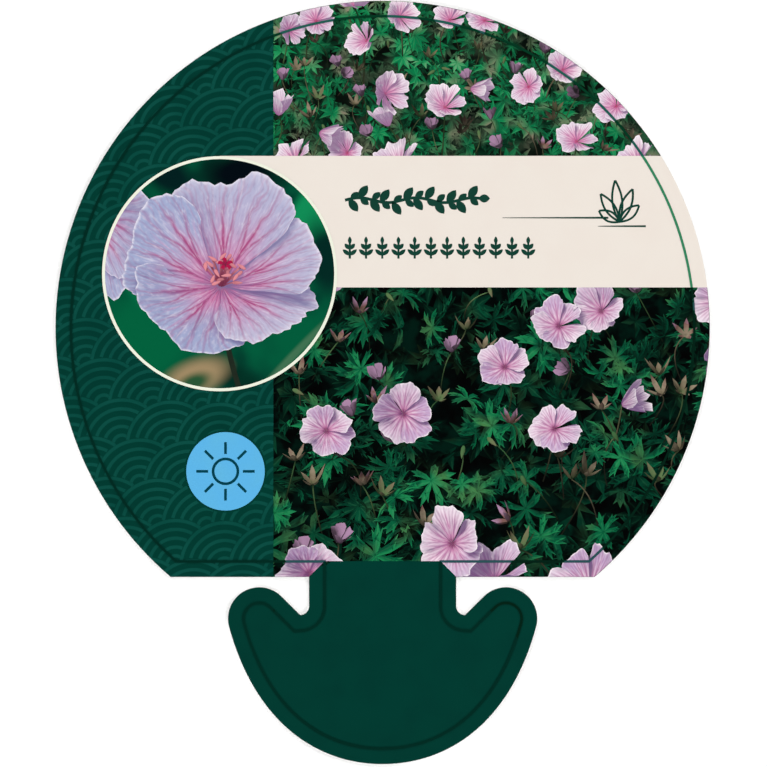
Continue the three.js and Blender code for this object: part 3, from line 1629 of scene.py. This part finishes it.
@dataclass
class TitleBand:
    """The cream band, with leafy ornaments where a label has its title and a tuft at its end."""

    sheet: CutSheet
    start: float = -4.7  # where both lines of ornament start
    sprig_level: float = 15.95
    sprig_end: float = 13.1
    sprig_wave: Pair = (0.3, 2.5)  # how far its stem waves to each side, and how often
    sprig_leaves: int = 12
    sprig_leaf: Triple = (1.9, 0.52, 54.0)  # length, half width and slant
    sprig_leaflet: Triple = (1.35, 0.4, -40.0)  # on the other side
    row_level: float = 9.0
    row_end: float = 18.8
    sprouts: int = 12
    sprout_leaves: Series = ((0.05, 1.15, 40), (0.8, 0.95, 48))  # rise, length, slant of a pair
    ground_level: float = 13.75  # of the line that the tuft stands on
    upper_ground: Pair = (15.0, 13.2)  # where that line starts, and its length
    lower_ground: Pair = (26.9, 6.0)  # the same for the line below it
    tuft_at: float = 29.6
    tuft_leaves: Series = (  # the slant and length of each
        (152, 2.9), (124, 4.2), (96, 5.2), (68, 4.4), (40, 3.2),
    )
    stroke: float = 0.13  # half the width of a drawn line

    def sprig(self) -> list[Patch]:
        """Draws the upper ornament, a waving stem with leaves on both sides.

        Returns:
            Its strokes.
        """
        x = np.linspace(self.start, self.sprig_end - 0.9, 70)
        height, waves = self.sprig_wave
        wave = math.tau * waves * (x - self.start) / (self.sprig_end - self.start)
        stem = np.column_stack([x, self.sprig_level + height * np.sin(wave)])
        parts = [level_ribbon(stem, 0.19)]
        for number in range(self.sprig_leaves):
            at = stem[int((number + 0.4) / (self.sprig_leaves + 0.4) * (len(stem) - 1))]
            side = 1 if number % 2 else -1
            for shift, (*size, slant) in ((0, self.sprig_leaf), (0.2, self.sprig_leaflet)):
                parts.append(lens(at + (shift, 0), *size, side * slant))
        return [*parts, lens(stem[-1] - (0.2, 0), 1.4, 0.5, 0.0)]

    def row(self) -> list[Patch]:
        """Draws the lower ornament, a row of small sprouts.

        Returns:
            Its strokes.
        """
        parts = []
        pitch = (self.row_end - self.start - 1.2) / (self.sprouts - 1)
        for number in range(self.sprouts):
            at = np.array((self.start + 0.6 + pitch * number, self.row_level))
            parts.append(level_ribbon(at + np.array([(0, -0.35), (0, 0.6), (0, 1.7)]), self.stroke))
            for rise, length, heading in self.sprout_leaves:
                for side in (heading, 180 - heading):
                    parts.append(lens(at + (0, rise), length, 0.25, side))
            parts.append(lens(at + (0, 1.45), 0.95, 0.22, 90))
        return parts

    def tuft(self) -> list[Patch]:
        """Draws the band's end: two ground lines that thin out, and a tuft in outline.

        Returns:
            Its strokes.
        """
        share = np.linspace(0, 1, 20)
        parts = []
        for (start, length), drop, swell in (
            (self.upper_ground, 0, share),
            (self.lower_ground, 1.05, np.sqrt(share)),
        ):
            level = np.full(len(share), self.ground_level - drop)
            line = np.column_stack([start + length * share, level])
            parts.append(level_ribbon(line, 0.03 + 0.09 * swell))
        foot = np.array((self.tuft_at, self.ground_level - 0.5))
        t = np.linspace(0, 1, 14)[:, None]
        for heading, length in self.tuft_leaves:
            leaf = length * way(math.radians(heading))
            across = way(math.radians(heading + 90)) * 0.62
            for side in (-1, 1):
                edge = foot + leaf * t + side * across * np.sin(math.pi * t) ** 0.9
                parts.append(level_ribbon(edge, self.stroke))
        return parts

    def build(self) -> None:
        """Builds the band and its ornaments."""
        band = self.sheet.film("cream_band_print", Film.BAND)
        cut_away(band, (LAYOUT.portrait[0], 0), (-1, 0))
        cut_away(band, (0, LAYOUT.band_bottom), (0, -1))
        cut_away(band, (0, LAYOUT.band_top), (0, 1))
        finish_piece(band, TITLE_CREAM, Slot.CREAM)
        strokes = [*self.sprig(), *self.row(), *self.tuft()]
        for number, stroke in enumerate(strokes):
            stroke.table[:, DEPTH] = Film.BAND_MOTIF + 0.003 * (number % 9)  # crossing strokes part
        name = "band_ornament_print"
        Patch.joined(strokes).printed(name, self.sheet.face, TITLE_DARK, Slot.GREEN)


@dataclass(frozen=True)
class LeafLayer:
    """One layer of the leaves in a garden picture."""

    lobed: bool
    spacing: float  # between leaves, in leaf radii
    depth: float
    tilt: float  # how much its leaves lean
    brightness: float  # how light its leaves are printed
    cover: float  # the share of its spots that hold a leaf even where the bed is in shade


@dataclass
class Garden:
    """A garden picture: blooms over a bed of finely cut leaves.

    A pair of sizes holds at the bottom and at the top of the picture.
    """

    name: str  # the start of its pieces' names
    low: Pair  # the lower left corner of the ground that it covers
    high: Pair  # the upper right corner of that ground
    regions: tuple[Field, ...]  # the fields of its outline
    seed: int
    leaf_radius: Pair
    bloom_radius: Pair
    bloom_lean: float  # how far its blooms turn from the viewer
    group_spacing: float  # between groups of blooms
    group_cover: Triple  # how many groups stand, from the bottom to the top
    twig_spacing: float  # between twigs
    layers: tuple[LeafLayer, ...]
    leaf_ink: LeafInk
    petal_ink: PetalInk
    group_width: float = 1.05  # how far a group's blooms scatter, in bloom radii
    bloom_gap: float = 1.45  # the least distance between blooms, in bloom radii
    half_open_size: float = 0.62  # of a half-open bloom, in open ones
    bloom_lift: float = 6.0  # how far lit blooms are lifted clear of the tips below them
    full_bloom: float = 3.6  # the bloom radius at which twigs have the sizes below
    twig_width: float = 0.07  # half of it
    twig_drop: Pair = (3.0, 8.0)  # how far below its head a twig starts
    bud_size: float = 0.8  # this and the next two in units of their forms
    spent_size: float = 1.2
    calyx_size: float = 1.55
    stem_width: float = 0.085  # half of it, for a stem that bears a bloom
    stem_foot: float = -6.0  # the depth at which stems end
    stem_sink: float = -6.0  # the depth at which no more light reaches a stem

    def __post_init__(self) -> None:
        """Seeds the planting, and draws the waves that sunny places are made from."""
        self.rng = np.random.default_rng(self.seed)
        self.forms = PlantForms(self.rng)
        waves = [self.rng.normal(0, 0.3, (6, 2)), self.rng.uniform(0, math.tau, 6)]
        self.waves = np.column_stack(waves)

    def share_up(self, y: float) -> float:
        """Returns how far up the picture a height lies, from 0 to 1."""
        return (y - self.low[1]) / (self.high[1] - self.low[1])

    def size_at(self, y: float, sizes: Pair) -> float:
        """Returns a size at a height, between its sizes at the bottom and the top."""
        return sizes[0] + (sizes[1] - sizes[0]) * self.share_up(y)

    def inside(self, x: float, y: float) -> float:
        """Returns how far inside the picture's outline a place lies."""
        return min(region(np.array([[x, y]]))[0] for region in self.regions)

    def sunny(self, x: float, y: float) -> float:
        """Returns how sunny the bed is at a place, from 0 to 1."""
        return float(np.clip(0.5 + 0.27 * np.sin(self.waves @ (x, y, 1)).sum(), 0, 1))

    def spots(self, spacing: float) -> Rows:
        """Scatters spots over the ground, on a jittered lattice.

        Args:
            spacing: The distance between spots.

        Returns:
            The spots, in a random order.
        """
        xs, ys = (
            np.arange(low - spacing / 2, high + spacing, spacing)
            for low, high in zip(self.low, self.high)
        )
        found = np.array([(x, y) for x in xs for y in ys])
        found += self.rng.uniform(-0.5, 0.5, found.shape) * spacing
        return self.rng.permutation(found)

    def leafage(self) -> list[Patch]:
        """Grows the leaves, layer by layer.

        Returns:
            The leaves.
        """
        parts = []
        draw, near = self.rng.uniform, self.rng.normal
        radius = sum(self.leaf_radius) / 2
        for layer in self.layers:
            kinds = self.forms.leaves if layer.lobed else self.forms.plain_leaves
            for x, y in self.spots(radius * layer.spacing):
                sunny = self.sunny(x, y)
                chance = layer.cover + (1 - layer.cover) * sunny
                if self.inside(x, y) < -1.2 * radius or draw() > chance:
                    continue
                kind = kinds[self.rng.integers(len(kinds))]
                lean_x, lean_y = near(-0.3, layer.tilt), near(0, layer.tilt)
                size = self.size_at(y, self.leaf_radius) * draw(0.7, 1.2)
                turn = turned(lean_x, lean_y, draw(0, math.tau), size)
                tone = layer.brightness * (0.25 + 0.85 * sunny) + near(0, 0.07)
                at = (x, y, layer.depth + draw(-1.2, 1.2))
                parts.append(kind.placed(turn, at, float(np.clip(tone, 0.0, 0.95))))
        return parts

    def bloom_places(self) -> list[Triple]:
        """Finds places for the blooms, in loose groups of up to three.

        Returns:
            Each bloom's place and radius.
        """
        found: list[Triple] = []
        for x, y in self.spots(self.group_spacing):
            if self.rng.uniform() > np.interp(self.share_up(y), (0, 0.5, 1), self.group_cover):
                continue
            for _ in range(self.rng.integers(1, 4)):
                radius = self.size_at(y, self.bloom_radius)
                offset = self.rng.normal(0, self.group_width * radius, 2)
                a, b = (float(v) for v in np.array((x, y)) + offset)
                gap = min((math.hypot(a - c, b - d) for c, d, _ in found), default=math.inf)
                if self.inside(a, b) >= -0.5 * radius and gap > self.bloom_gap * radius:
                    found.append((a, b, radius))
        return found

    def stem(self, path: Rows, half_width: float, tone: float) -> Patch:
        """Makes one stem.

        Args:
            path: Its middle's points.
            half_width: Half its width.
            tone: Its tone.

        Returns:
            The stem.
        """
        patch = ribbon(path, half_width)
        patch.table[:, TONE] = tone
        return patch

    def flowering(self) -> tuple[list[Patch], list[Patch]]:
        """Grows the blooms, every fifth of them half open and seen from its side.

        Returns:
            The blooms, and the stems that bear them.
        """
        blooms, stems = [], []
        draw, near = self.rng.uniform, self.rng.normal
        for number, (x, y, radius) in enumerate(self.bloom_places()):
            side_on = number % 5 == 4
            kinds = self.forms.half_open if side_on else self.forms.blooms
            kind = kinds[self.rng.integers(len(kinds))]
            size = radius * draw(0.9, 1.06) * (self.half_open_size if side_on else 1)
            lean = min(abs(near(self.bloom_lean, 0.28)) + 0.5 * side_on, 1.25)
            heading = near(math.pi / 2, 1.0)
            lean_x, lean_y = -lean * math.sin(heading), lean * math.cos(heading)
            depth = 3.2 + 1.6 * number / 20
            turn = turned(lean_x, lean_y, draw(0, math.tau), size)
            blooms.append(kind.placed(turn, (x, y, depth)))
            root = (x + draw(-2, 2), y - draw(4, 8), self.stem_foot)
            path = arched((x, y, depth - 0.6), root, (draw(-1, 1), 0, 0), 8)
            stems.append(self.stem(path, self.stem_width, draw(0, 0.5)))
        return blooms, stems

    def twigs(self) -> list[Patch]:
        """Grows thin stems that end in a nodding bud, in a dried calyx or in a spent bloom.

        Returns:
            The stems and what they bear.
        """
        parts = []
        draw, near = self.rng.uniform, self.rng.normal
        for number, (x, y) in enumerate(self.spots(self.twig_spacing)):
            if self.inside(x, y) < 0.3:
                continue
            scale = self.size_at(y, self.bloom_radius) / self.full_bloom
            top = np.array((x, y, draw(0.4, 2.4)))
            drop = (draw(-4, 4) * scale, -draw(*self.twig_drop) * scale, self.stem_foot - 1.4)
            root = top + drop
            path = arched(top, root, (draw(-1.2, 1.2) * scale, 0.6 * scale, 0.6), 9)
            parts.append(self.stem(path, self.twig_width * scale, draw(0.0, 0.5)))
            if number % 4 == 1:
                turn = turned(near(0, 0.3), 0, near(math.pi, 0.6), self.bud_size * scale)
                head, tone = self.forms.bud(), draw(0, 0.3)
            elif number % 4 == 3:
                turn = turned(near(-0.9, 0.3), near(0, 0.5), 0, self.spent_size * scale)
                head, tone = self.forms.half_open[number % 3], 1.1
            else:
                size = self.calyx_size * scale
                turn = turned(near(-1.0, 0.3), near(0, 0.4), draw(0, math.tau), size)
                head, tone = self.forms.calyx(), draw(0.2, 0.75)
            parts.append(head.placed(turn, top, tone))
        return parts

    def build(self, sheet: CutSheet, daylight: Daylight) -> Piece:
        """Grows, lights, presses and trims the picture, and makes its pieces.

        Args:
            sheet: The sheet that it is printed on.
            daylight: The light that falls on the bed.

        Returns:
            The piece with the blooms.
        """
        blooms, stems = (Patch.joined(grown) for grown in self.flowering())
        stems = Patch.joined([stems, *self.twigs()])
        leaves = Patch.joined(self.leafage())
        lit = daylight.lit(Patch.joined([leaves, stems, blooms]))
        depths, light = lit.table[:, DEPTH], lit.table[:, LIGHT]
        on_blooms = slice(-len(blooms.table), None)
        on_stems = slice(len(leaves.table), on_blooms.start)
        light[on_stems] *= np.clip(1 - depths[on_stems] / self.stem_sink, 0, 1)
        light[on_blooms] = daylight.lit(blooms).table[:, LIGHT]
        depths[on_blooms] += self.bloom_lift
        parts = {
            f"{self.name}_foliage": (leaves, self.leaf_ink),
            f"{self.name}_stems": (stems, GARDEN_STEM),
            f"{self.name}_blooms": (blooms, self.petal_ink),
        }
        return sheet.picture(lit, Film.GARDEN_FOOT, Film.GARDEN_HEAD, parts, *self.regions)


UPPER_GARDEN = Garden(
    name="upper_garden",
    low=(LAYOUT.picture_left, LAYOUT.band_top),
    high=(35.0, 41.0),
    regions=(IN_PICTURE, OVER_BAND, DISC),
    seed=22,
    leaf_radius=(2.5, 1.9),
    bloom_radius=(2.9, 2.3),
    bloom_lean=0.75,
    group_spacing=6.2,
    group_cover=(0.5, 0.6, 1.0),
    twig_spacing=3.5,
    stem_foot=-3.6,
    stem_sink=-5.4,
    layers=(
        LeafLayer(lobed=False, spacing=0.95, depth=-7.5, tilt=0.6, brightness=0.15, cover=0.75),
        LeafLayer(lobed=True, spacing=0.95, depth=-4.6, tilt=0.75, brightness=0.45, cover=0.65),
        LeafLayer(lobed=False, spacing=0.95, depth=-1.8, tilt=0.75, brightness=0.78, cover=0.4),
    ),
    leaf_ink=FAR_LEAF,
    petal_ink=FAR_PETAL,
)
LOWER_GARDEN = Garden(
    name="lower_garden",
    low=(LAYOUT.picture_left, LAYOUT.straight_edge),
    high=(41.0, LAYOUT.band_bottom),
    regions=(
        IN_PICTURE,
        UNDER_BAND,
        above(LAYOUT.straight_edge),
        DISC,
        outside(inside_circle(LAYOUT.portrait, LAYOUT.portrait_radius - 0.2)),
        clear_of_neck,
    ),
    seed=35,
    leaf_radius=(4.5, 3.7),
    bloom_radius=(4.4, 3.3),
    bloom_lean=0.45,
    group_spacing=9.4,
    group_cover=(0.65, 0.3, 0.95),
    twig_spacing=6.1,
    layers=(
        LeafLayer(lobed=False, spacing=0.85, depth=-7.5, tilt=0.7, brightness=0.0, cover=0.6),
        LeafLayer(lobed=True, spacing=0.9, depth=-4.8, tilt=0.85, brightness=0.5, cover=0.36),
        LeafLayer(lobed=True, spacing=1.0, depth=-1.8, tilt=0.8, brightness=0.9, cover=0.08),
    ),
    leaf_ink=NEAR_LEAF,
    petal_ink=NEAR_PETAL,
)


@dataclass
class PictureGround:
    """The dark ground under both garden pictures."""

    sheet: CutSheet

    def build(self) -> None:
        """Builds the ground above the band, below it, and in the two feet beside the neck."""
        foot, mitre = LAYOUT.foot, LAYOUT.mitre
        all_cuts = [((LAYOUT.picture_left, 0), (-1, 0)), ((0, LAYOUT.straight_edge), (0, -1))]
        parts = {
            "upper_garden": [((0, LAYOUT.band_top), (0, -1))],
            "lower_garden": [((0, LAYOUT.band_bottom), (0, 1)), ((0, foot), (0, -1))],
            "left_foot": [((0, foot), (0, 1)), ((-mitre, foot), (1, -1))],
            "right_foot": [((0, foot), (0, 1)), ((mitre, foot), (-1, -1))],
        }
        for name, cuts in parts.items():
            film = self.sheet.film(f"{name}_ground_print", Film.PICTURE_GROUND)
            for at, side in all_cuts + cuts:
                cut_away(film, at, side)
            finish_piece(film, FAR_SHADE if name == "upper_garden" else NEAR_SHADE, Slot.PICTURE)


@dataclass
class Portrait:
    """The round picture of one large bloom, and its pale ring."""

    sheet: CutSheet
    seed: int = 9
    bloom_radius: float = 13.4
    bloom_at: Pair = (0.2, -1.4)  # the large bloom's middle, from the portrait's centre
    lean: Pair = (-0.64, 0.15)  # the large bloom's, about X and Y
    cup: float = 0.36  # how deep the large bloom is
    second_at: Triple = (-17.2, 9.5, -9.0)  # from the large bloom's middle
    second_turn: Triple = (0.3, -0.6, 1.9)  # the second bloom's lean and spin
    second_size: float = 0.85  # of the large bloom's radius
    second_cup: float = 0.3
    stalk_end: Triple = (3.4, -16.0, -9.0)  # from the large bloom's middle
    stalk_width: float = 0.33  # half of it
    stamen_count: int = 20
    stamen_reach: Pair = (0.04, 0.19)  # these and the next ones in bloom radii
    stamen_height: Pair = (0.16, 0.3)
    stamen_width: float = 0.012  # half of it
    anther_size: float = 0.04
    stigma_heights: Pair = (0.3, 0.34)  # at its middle, and at the ends of its arms
    stigma_reach: float = 0.07
    stigma_width: float = 0.018  # half of an arm's
    sides: int = 160  # of each round film

    def stamens(self, forms: PlantForms) -> Patch:
        """Makes the stamens and the starry stigma, for a bloom of radius 1.

        Args:
            forms: The forms that the bloom is made from.

        Returns:
            Their strips and anthers.
        """
        parts = []
        draw = forms.rng.uniform
        for number in range(self.stamen_count):
            out = way(math.tau * (number + draw(-0.3, 0.3)) / self.stamen_count)
            head = np.array((*(out * draw(*self.stamen_reach)), draw(*self.stamen_height)))
            path = arched((*(out * 0.03), 0.02), head, (0, 0, 0.03), 5)
            stalk = ribbon(path, self.stamen_width)
            stalk.table[:, TONE] = 0.8
            turn = turned(0, 0, draw(0, math.tau), self.anther_size)
            anther = forms.bud().placed(turn, head, 0.95)
            anther.table[:, PLACE] = head[:2] + 1.3 * (anther.table[:, PLACE] - head[:2])
            parts += [stalk, anther]
        low, high = self.stigma_heights
        for number in range(PETALS):
            head = (*(self.stigma_reach * way(math.tau * (number + 0.3) / PETALS)), high)
            arm = ribbon(arched((0, 0, low), head, (0, 0, 0.03), 4), self.stigma_width)
            arm.table[:, ALONG], arm.table[:, TONE] = 0.0, 0.0
            parts.append(arm)
        return Patch.joined(parts)

    def build(self, daylight: Daylight) -> None:
        """Builds the portrait's ground, bloom, stamens and ring.

        Args:
            daylight: The light that falls on the bloom.
        """
        centre, radius = LAYOUT.portrait, LAYOUT.portrait_radius
        film = Film.PORTRAIT_GROUND
        ground = self.sheet.disc("portrait_ground_print", centre, radius - 0.2, film, self.sides)
        finish_piece(ground, PORTRAIT_GROUND, Slot.PICTURE)
        forms = PlantForms(np.random.default_rng(self.seed))
        x, y = np.add(centre, self.bloom_at)
        turn = turned(*self.lean, 0, self.bloom_radius)
        bloom = forms.bloom(PORTRAIT_BLOOM, self.cup).placed(turn, (x, y, 0))
        second_turn = turned(*self.second_turn, self.bloom_radius * self.second_size)
        second_at = np.add((x, y, 0), self.second_at)
        second = forms.bloom(SECOND_BLOOM, self.second_cup).placed(second_turn, second_at)
        stamens = self.stamens(forms).placed(turn, (x, y, 0))
        stalk_end = np.add((x, y, 0), self.stalk_end)
        stalk = ribbon(arched((x, y, -1.5), stalk_end, (-0.8, 0, 0), 12), self.stalk_width)
        stalk.table[:, ALONG], stalk.table[:, TONE] = 0.0, 0.42
        petals, rest = Patch.joined([bloom, second]), Patch.joined([stamens, stalk])
        lit = daylight.lit(Patch.joined([petals, rest]))
        lit.table[-len(stalk.table) :, LIGHT] = 0.95
        parts = {
            "portrait_bloom": (petals, PORTRAIT_PETAL),
            "portrait_stamens": (rest, STAMEN_INK),
        }
        clip = inside_circle(centre, radius - LAYOUT.ring_width / 2)
        self.sheet.picture(lit, Film.PORTRAIT_FOOT, Film.PORTRAIT_HEAD, parts, clip)
        ring = self.sheet.disc("portrait_ring_print", centre, radius, Film.RING, self.sides)
        with editing(ring):
            bpy.ops.mesh.inset(thickness=LAYOUT.ring_width * MM)
            bpy.ops.mesh.delete(type="FACE")
        finish_piece(ring, RING_CREAM, Slot.CREAM)


@dataclass
class Badge:
    """The blue badge on the side panel, with a plain sun drawn in dark lines."""

    sheet: CutSheet
    sides: int = 96  # of the badge's disc
    sun_radius: float = 1.55
    sun_sides: int = 64
    rays: int = 8
    ray_ends: Pair = (0.62, 2.1)  # how far outside the sun's circle a ray starts and ends
    line_width: float = 0.34

    def build(self) -> None:
        """Builds the badge's disc and its sun."""
        centre, radius, half = LAYOUT.badge, LAYOUT.badge_radius, self.line_width / 2
        disc = self.sheet.disc("badge_disc_print", centre, radius, Film.BADGE, self.sides)
        finish_piece(disc, BADGE_BLUE, Slot.BLUE)
        angles = np.arange(self.sun_sides) * math.tau / self.sun_sides
        parts = [level_ribbon(on_circle(centre, self.sun_radius, angles), half, closed=True)]
        near, far = (self.sun_radius + end for end in self.ray_ends)
        reach = np.linspace(near, far, 5)[:, None]
        for number in range(self.rays):
            ray = np.asarray(centre) + reach * way(math.tau * number / self.rays)
            parts.append(level_ribbon(ray, half))
        sun = Patch.joined(parts)
        sun.table[:, DEPTH] = Film.BADGE_MOTIF
        sun.printed("badge_sun_print", self.sheet.face, BADGE_DARK, Slot.GREEN)


@dataclass
class FrameLine:
    """The thin line that follows the cut edge, in transparent ink over what lies beneath."""

    sheet: CutSheet
    blooms: list[Piece]  # the pieces with the garden pictures' blooms
    rim: float = 0.08  # how far the flat of the face ends inside the cut edge
    stretch: float = 0.2  # the longest stretch of line in one tone

    def path(self) -> Rows:
        """Sets the line at the border's distance from the cut edge.

        Returns:
            The line's points, in order.
        """
        loop = self.sheet.edge()
        ahead = np.roll(loop, -1, 0)
        if np.sum(loop[:, 0] * ahead[:, 1] - loop[:, 1] * ahead[:, 0]) < 0:
            loop = loop[::-1]
            ahead = np.roll(loop, -1, 0)
        sides = ahead - loop
        one, two = unit(sides), unit(loop - np.roll(loop, 1, 0))
        heading = unit(one + two)
        inward = np.column_stack([-heading[:, 1], heading[:, 0]])
        distance = LAYOUT.border - self.rim
        moved = loop + inward * (distance / (one * heading).sum(1))[:, None]
        away = moved[:, None] - loop
        share = np.clip((away * sides).sum(2) / np.maximum((sides * sides).sum(1), 1e-12), 0, 1)
        gaps = np.linalg.norm(away - share[:, :, None] * sides, axis=2).min(1)
        corners = moved[gaps > distance * 0.995]  # the others lie past an inner corner
        points = []
        for here, there in zip(corners, np.roll(corners, -1, 0)):
            count = math.ceil(math.dist(here, there) / self.stretch)
            points.append(here + (there - here) * np.arange(count)[:, None] / count)
        return np.vstack(points)

    def over_blooms(self, places: Rows) -> Rows:
        """Looks down on the print.

        Args:
            places: The places that are looked at.

        Returns:
            Whether a bloom is printed at each of them.
        """
        found = np.zeros(len(places), bool)
        above_print = (self.sheet.face + 1) * MM
        for piece in self.blooms:
            for number, (x, y) in enumerate(places):
                found[number] |= piece.ray_cast((x * MM, y * MM, above_print), (0, 0, -1))[0]
        return found

    def build(self) -> None:
        """Builds the line, in one tone on each ground and in another over blooms."""
        line = level_ribbon(self.path(), LAYOUT.line_width / 2, closed=True)
        line.table[:, DEPTH] = Film.FRAME_LINE
        in_band = (IN_PICTURE, above(LAYOUT.band_bottom), outside(OVER_BAND))
        grounds = (
            (LineTone.GREEN, None, (outside(IN_PICTURE),)),
            (LineTone.GREEN, None, (IN_PICTURE, outside(clear_of_neck))),
            (LineTone.NEAR_LEAVES, LineTone.NEAR_BLOOMS, (IN_PICTURE, clear_of_neck, UNDER_BAND)),
            (LineTone.BAND, None, in_band),
            (LineTone.FAR_LEAVES, LineTone.FAR_BLOOMS, (IN_PICTURE, OVER_BAND)),
        )
        parts = []
        for tone, bloom_tone, regions in grounds:
            part = line.trimmed(*regions)
            part.table[:, TONE] = tone
            if bloom_tone:
                part.table[self.over_blooms(part.table[:, PLACE]), TONE] = bloom_tone
            parts.append(part)
        name = "frame_line_print"
        Patch.joined(parts).printed(name, self.sheet.face, FRAME_LINE_INK, Slot.GREEN)


@dataclass
class Studio:
    """The pale floor, the soft lights and the camera."""

    view_centre: Pair = (0.11, -6.96)  # the point that the camera looks straight down on
    view_width: float = 95.875  # how much of the floor the picture is wide
    lens: float = 200.0
    sensor: float = 36.0
    lamp_power: float = 3.58  # in watts
    lamp_shares: tuple[float, ...] = (1.08, 0.96, 0.92, 1.04)  # of that power, lamp by lamp
    lamp_size: float = 0.55  # in metres
    lamp_distance: float = 0.9  # in metres
    lamp_height: float = 42.0  # over the floor, in degrees
    floor_size: float = 12.0  # in metres
    floor_glow: float = 0.12  # the floor is a light table, and glows by itself

    def camera(self, face: float) -> None:
        """Sets the camera over the label.

        Args:
            face: The height of the sheet's face, in millimetres.
        """
        data = bpy.data.cameras.new("straight_down")
        data.lens, data.sensor_width = self.lens, self.sensor
        data.clip_start, data.clip_end = 0.01, 20
        camera = linked("straight_down", data)
        away = self.view_width * self.lens / self.sensor
        camera.location = (*(at * MM for at in self.view_centre), (face + away) * MM)
        bpy.context.scene.camera = camera

    def lamps(self) -> None:
        """Sets four soft lamps round the label, none of them where its face would mirror it."""
        rise = math.radians(self.lamp_height)
        for number, share in enumerate(self.lamp_shares):
            data = bpy.data.lights.new(f"soft_lamp_{number}", "AREA")
            data.shape, data.size = "DISK", self.lamp_size
            data.energy = self.lamp_power * share
            lamp = linked(data.name, data)
            level = way(math.radians(22.5 + 90 * number)) * math.cos(rise)
            out = Vector((*level, math.sin(rise)))
            lamp.location = out * self.lamp_distance
            lamp.rotation_euler = out.to_track_quat("Z", "Y").to_euler()

    def sky(self) -> None:
        """Sets a dim sky that is bright only near the horizon."""
        world = bpy.data.worlds.new("studio_walls")
        world.use_nodes = True
        bpy.context.scene.world = world
        nodes, links = world.node_tree.nodes, world.node_tree.links
        coordinates = nodes.new("ShaderNodeTexCoord")
        split = nodes.new("ShaderNodeSeparateXYZ")
        rise = nodes.new("ShaderNodeMapRange")
        span = {"From Min": 0.09, "From Max": 0.2, "To Min": 0.8, "To Max": 0.05}
        for name, value in span.items():
            rise.inputs[name].default_value = value
        links.new(coordinates.outputs["Generated"], split.inputs[0])
        links.new(split.outputs["Z"], rise.inputs["Value"])
        links.new(rise.outputs[0], nodes["Background"].inputs["Strength"])
        nodes["Background"].inputs["Color"].default_value = (1, 1, 1, 1)

    def floor(self) -> None:
        """Lays the pale floor."""
        deselect_all()
        bpy.ops.mesh.primitive_plane_add(size=self.floor_size, location=(0, 0, -0.05 * MM))
        floor = bpy.context.object
        floor.name = "studio_floor"
        recipe = Recipe("pale_floor")
        share = recipe.noise(9, 3.0).step(0.3, 0.7)
        looks = {
            "Base Color": recipe.tinted((252, 252, 252), (share, (254, 254, 254))),
            "Roughness": 0.9,
            "Specular IOR Level": 0.1,
            "Emission Color": (1, 1, 1, 1),
            "Emission Strength": self.floor_glow,
        }
        recipe.wire(recipe.shader, looks)
        floor.data.materials.append(recipe.material)
        floor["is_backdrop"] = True

    def build(self, face: float) -> None:
        """Sets up the whole studio.

        Args:
            face: The height of the sheet's face, in millimetres.
        """
        bpy.context.scene.view_settings.view_transform = "Standard"
        self.camera(face)
        self.lamps()
        self.sky()
        self.floor()


def main() -> None:
    """Builds the label's print and the studio round it."""
    logging.basicConfig(level=logging.INFO, format="%(name)s: %(message)s")
    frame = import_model()
    cad_box = [list(corner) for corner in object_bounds()]
    sheet = CutSheet(frame["nodes"][SHEET_NODE])
    sheet.dress()
    GreenGround(sheet).build()
    PictureGround(sheet).build()
    blooms = [garden.build(sheet, SUNSHINE) for garden in (UPPER_GARDEN, LOWER_GARDEN)]
    TitleBand(sheet).build()
    Portrait(sheet).build(SOFT_LIGHT)
    Badge(sheet).build()
    FrameLine(sheet, blooms).build()
    Studio().build(sheet.face)
    seen_box = [list(corner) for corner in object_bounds()]
    {"cad": cad_box, "visual": seen_box}


if __name__ == "__main__":
    main()
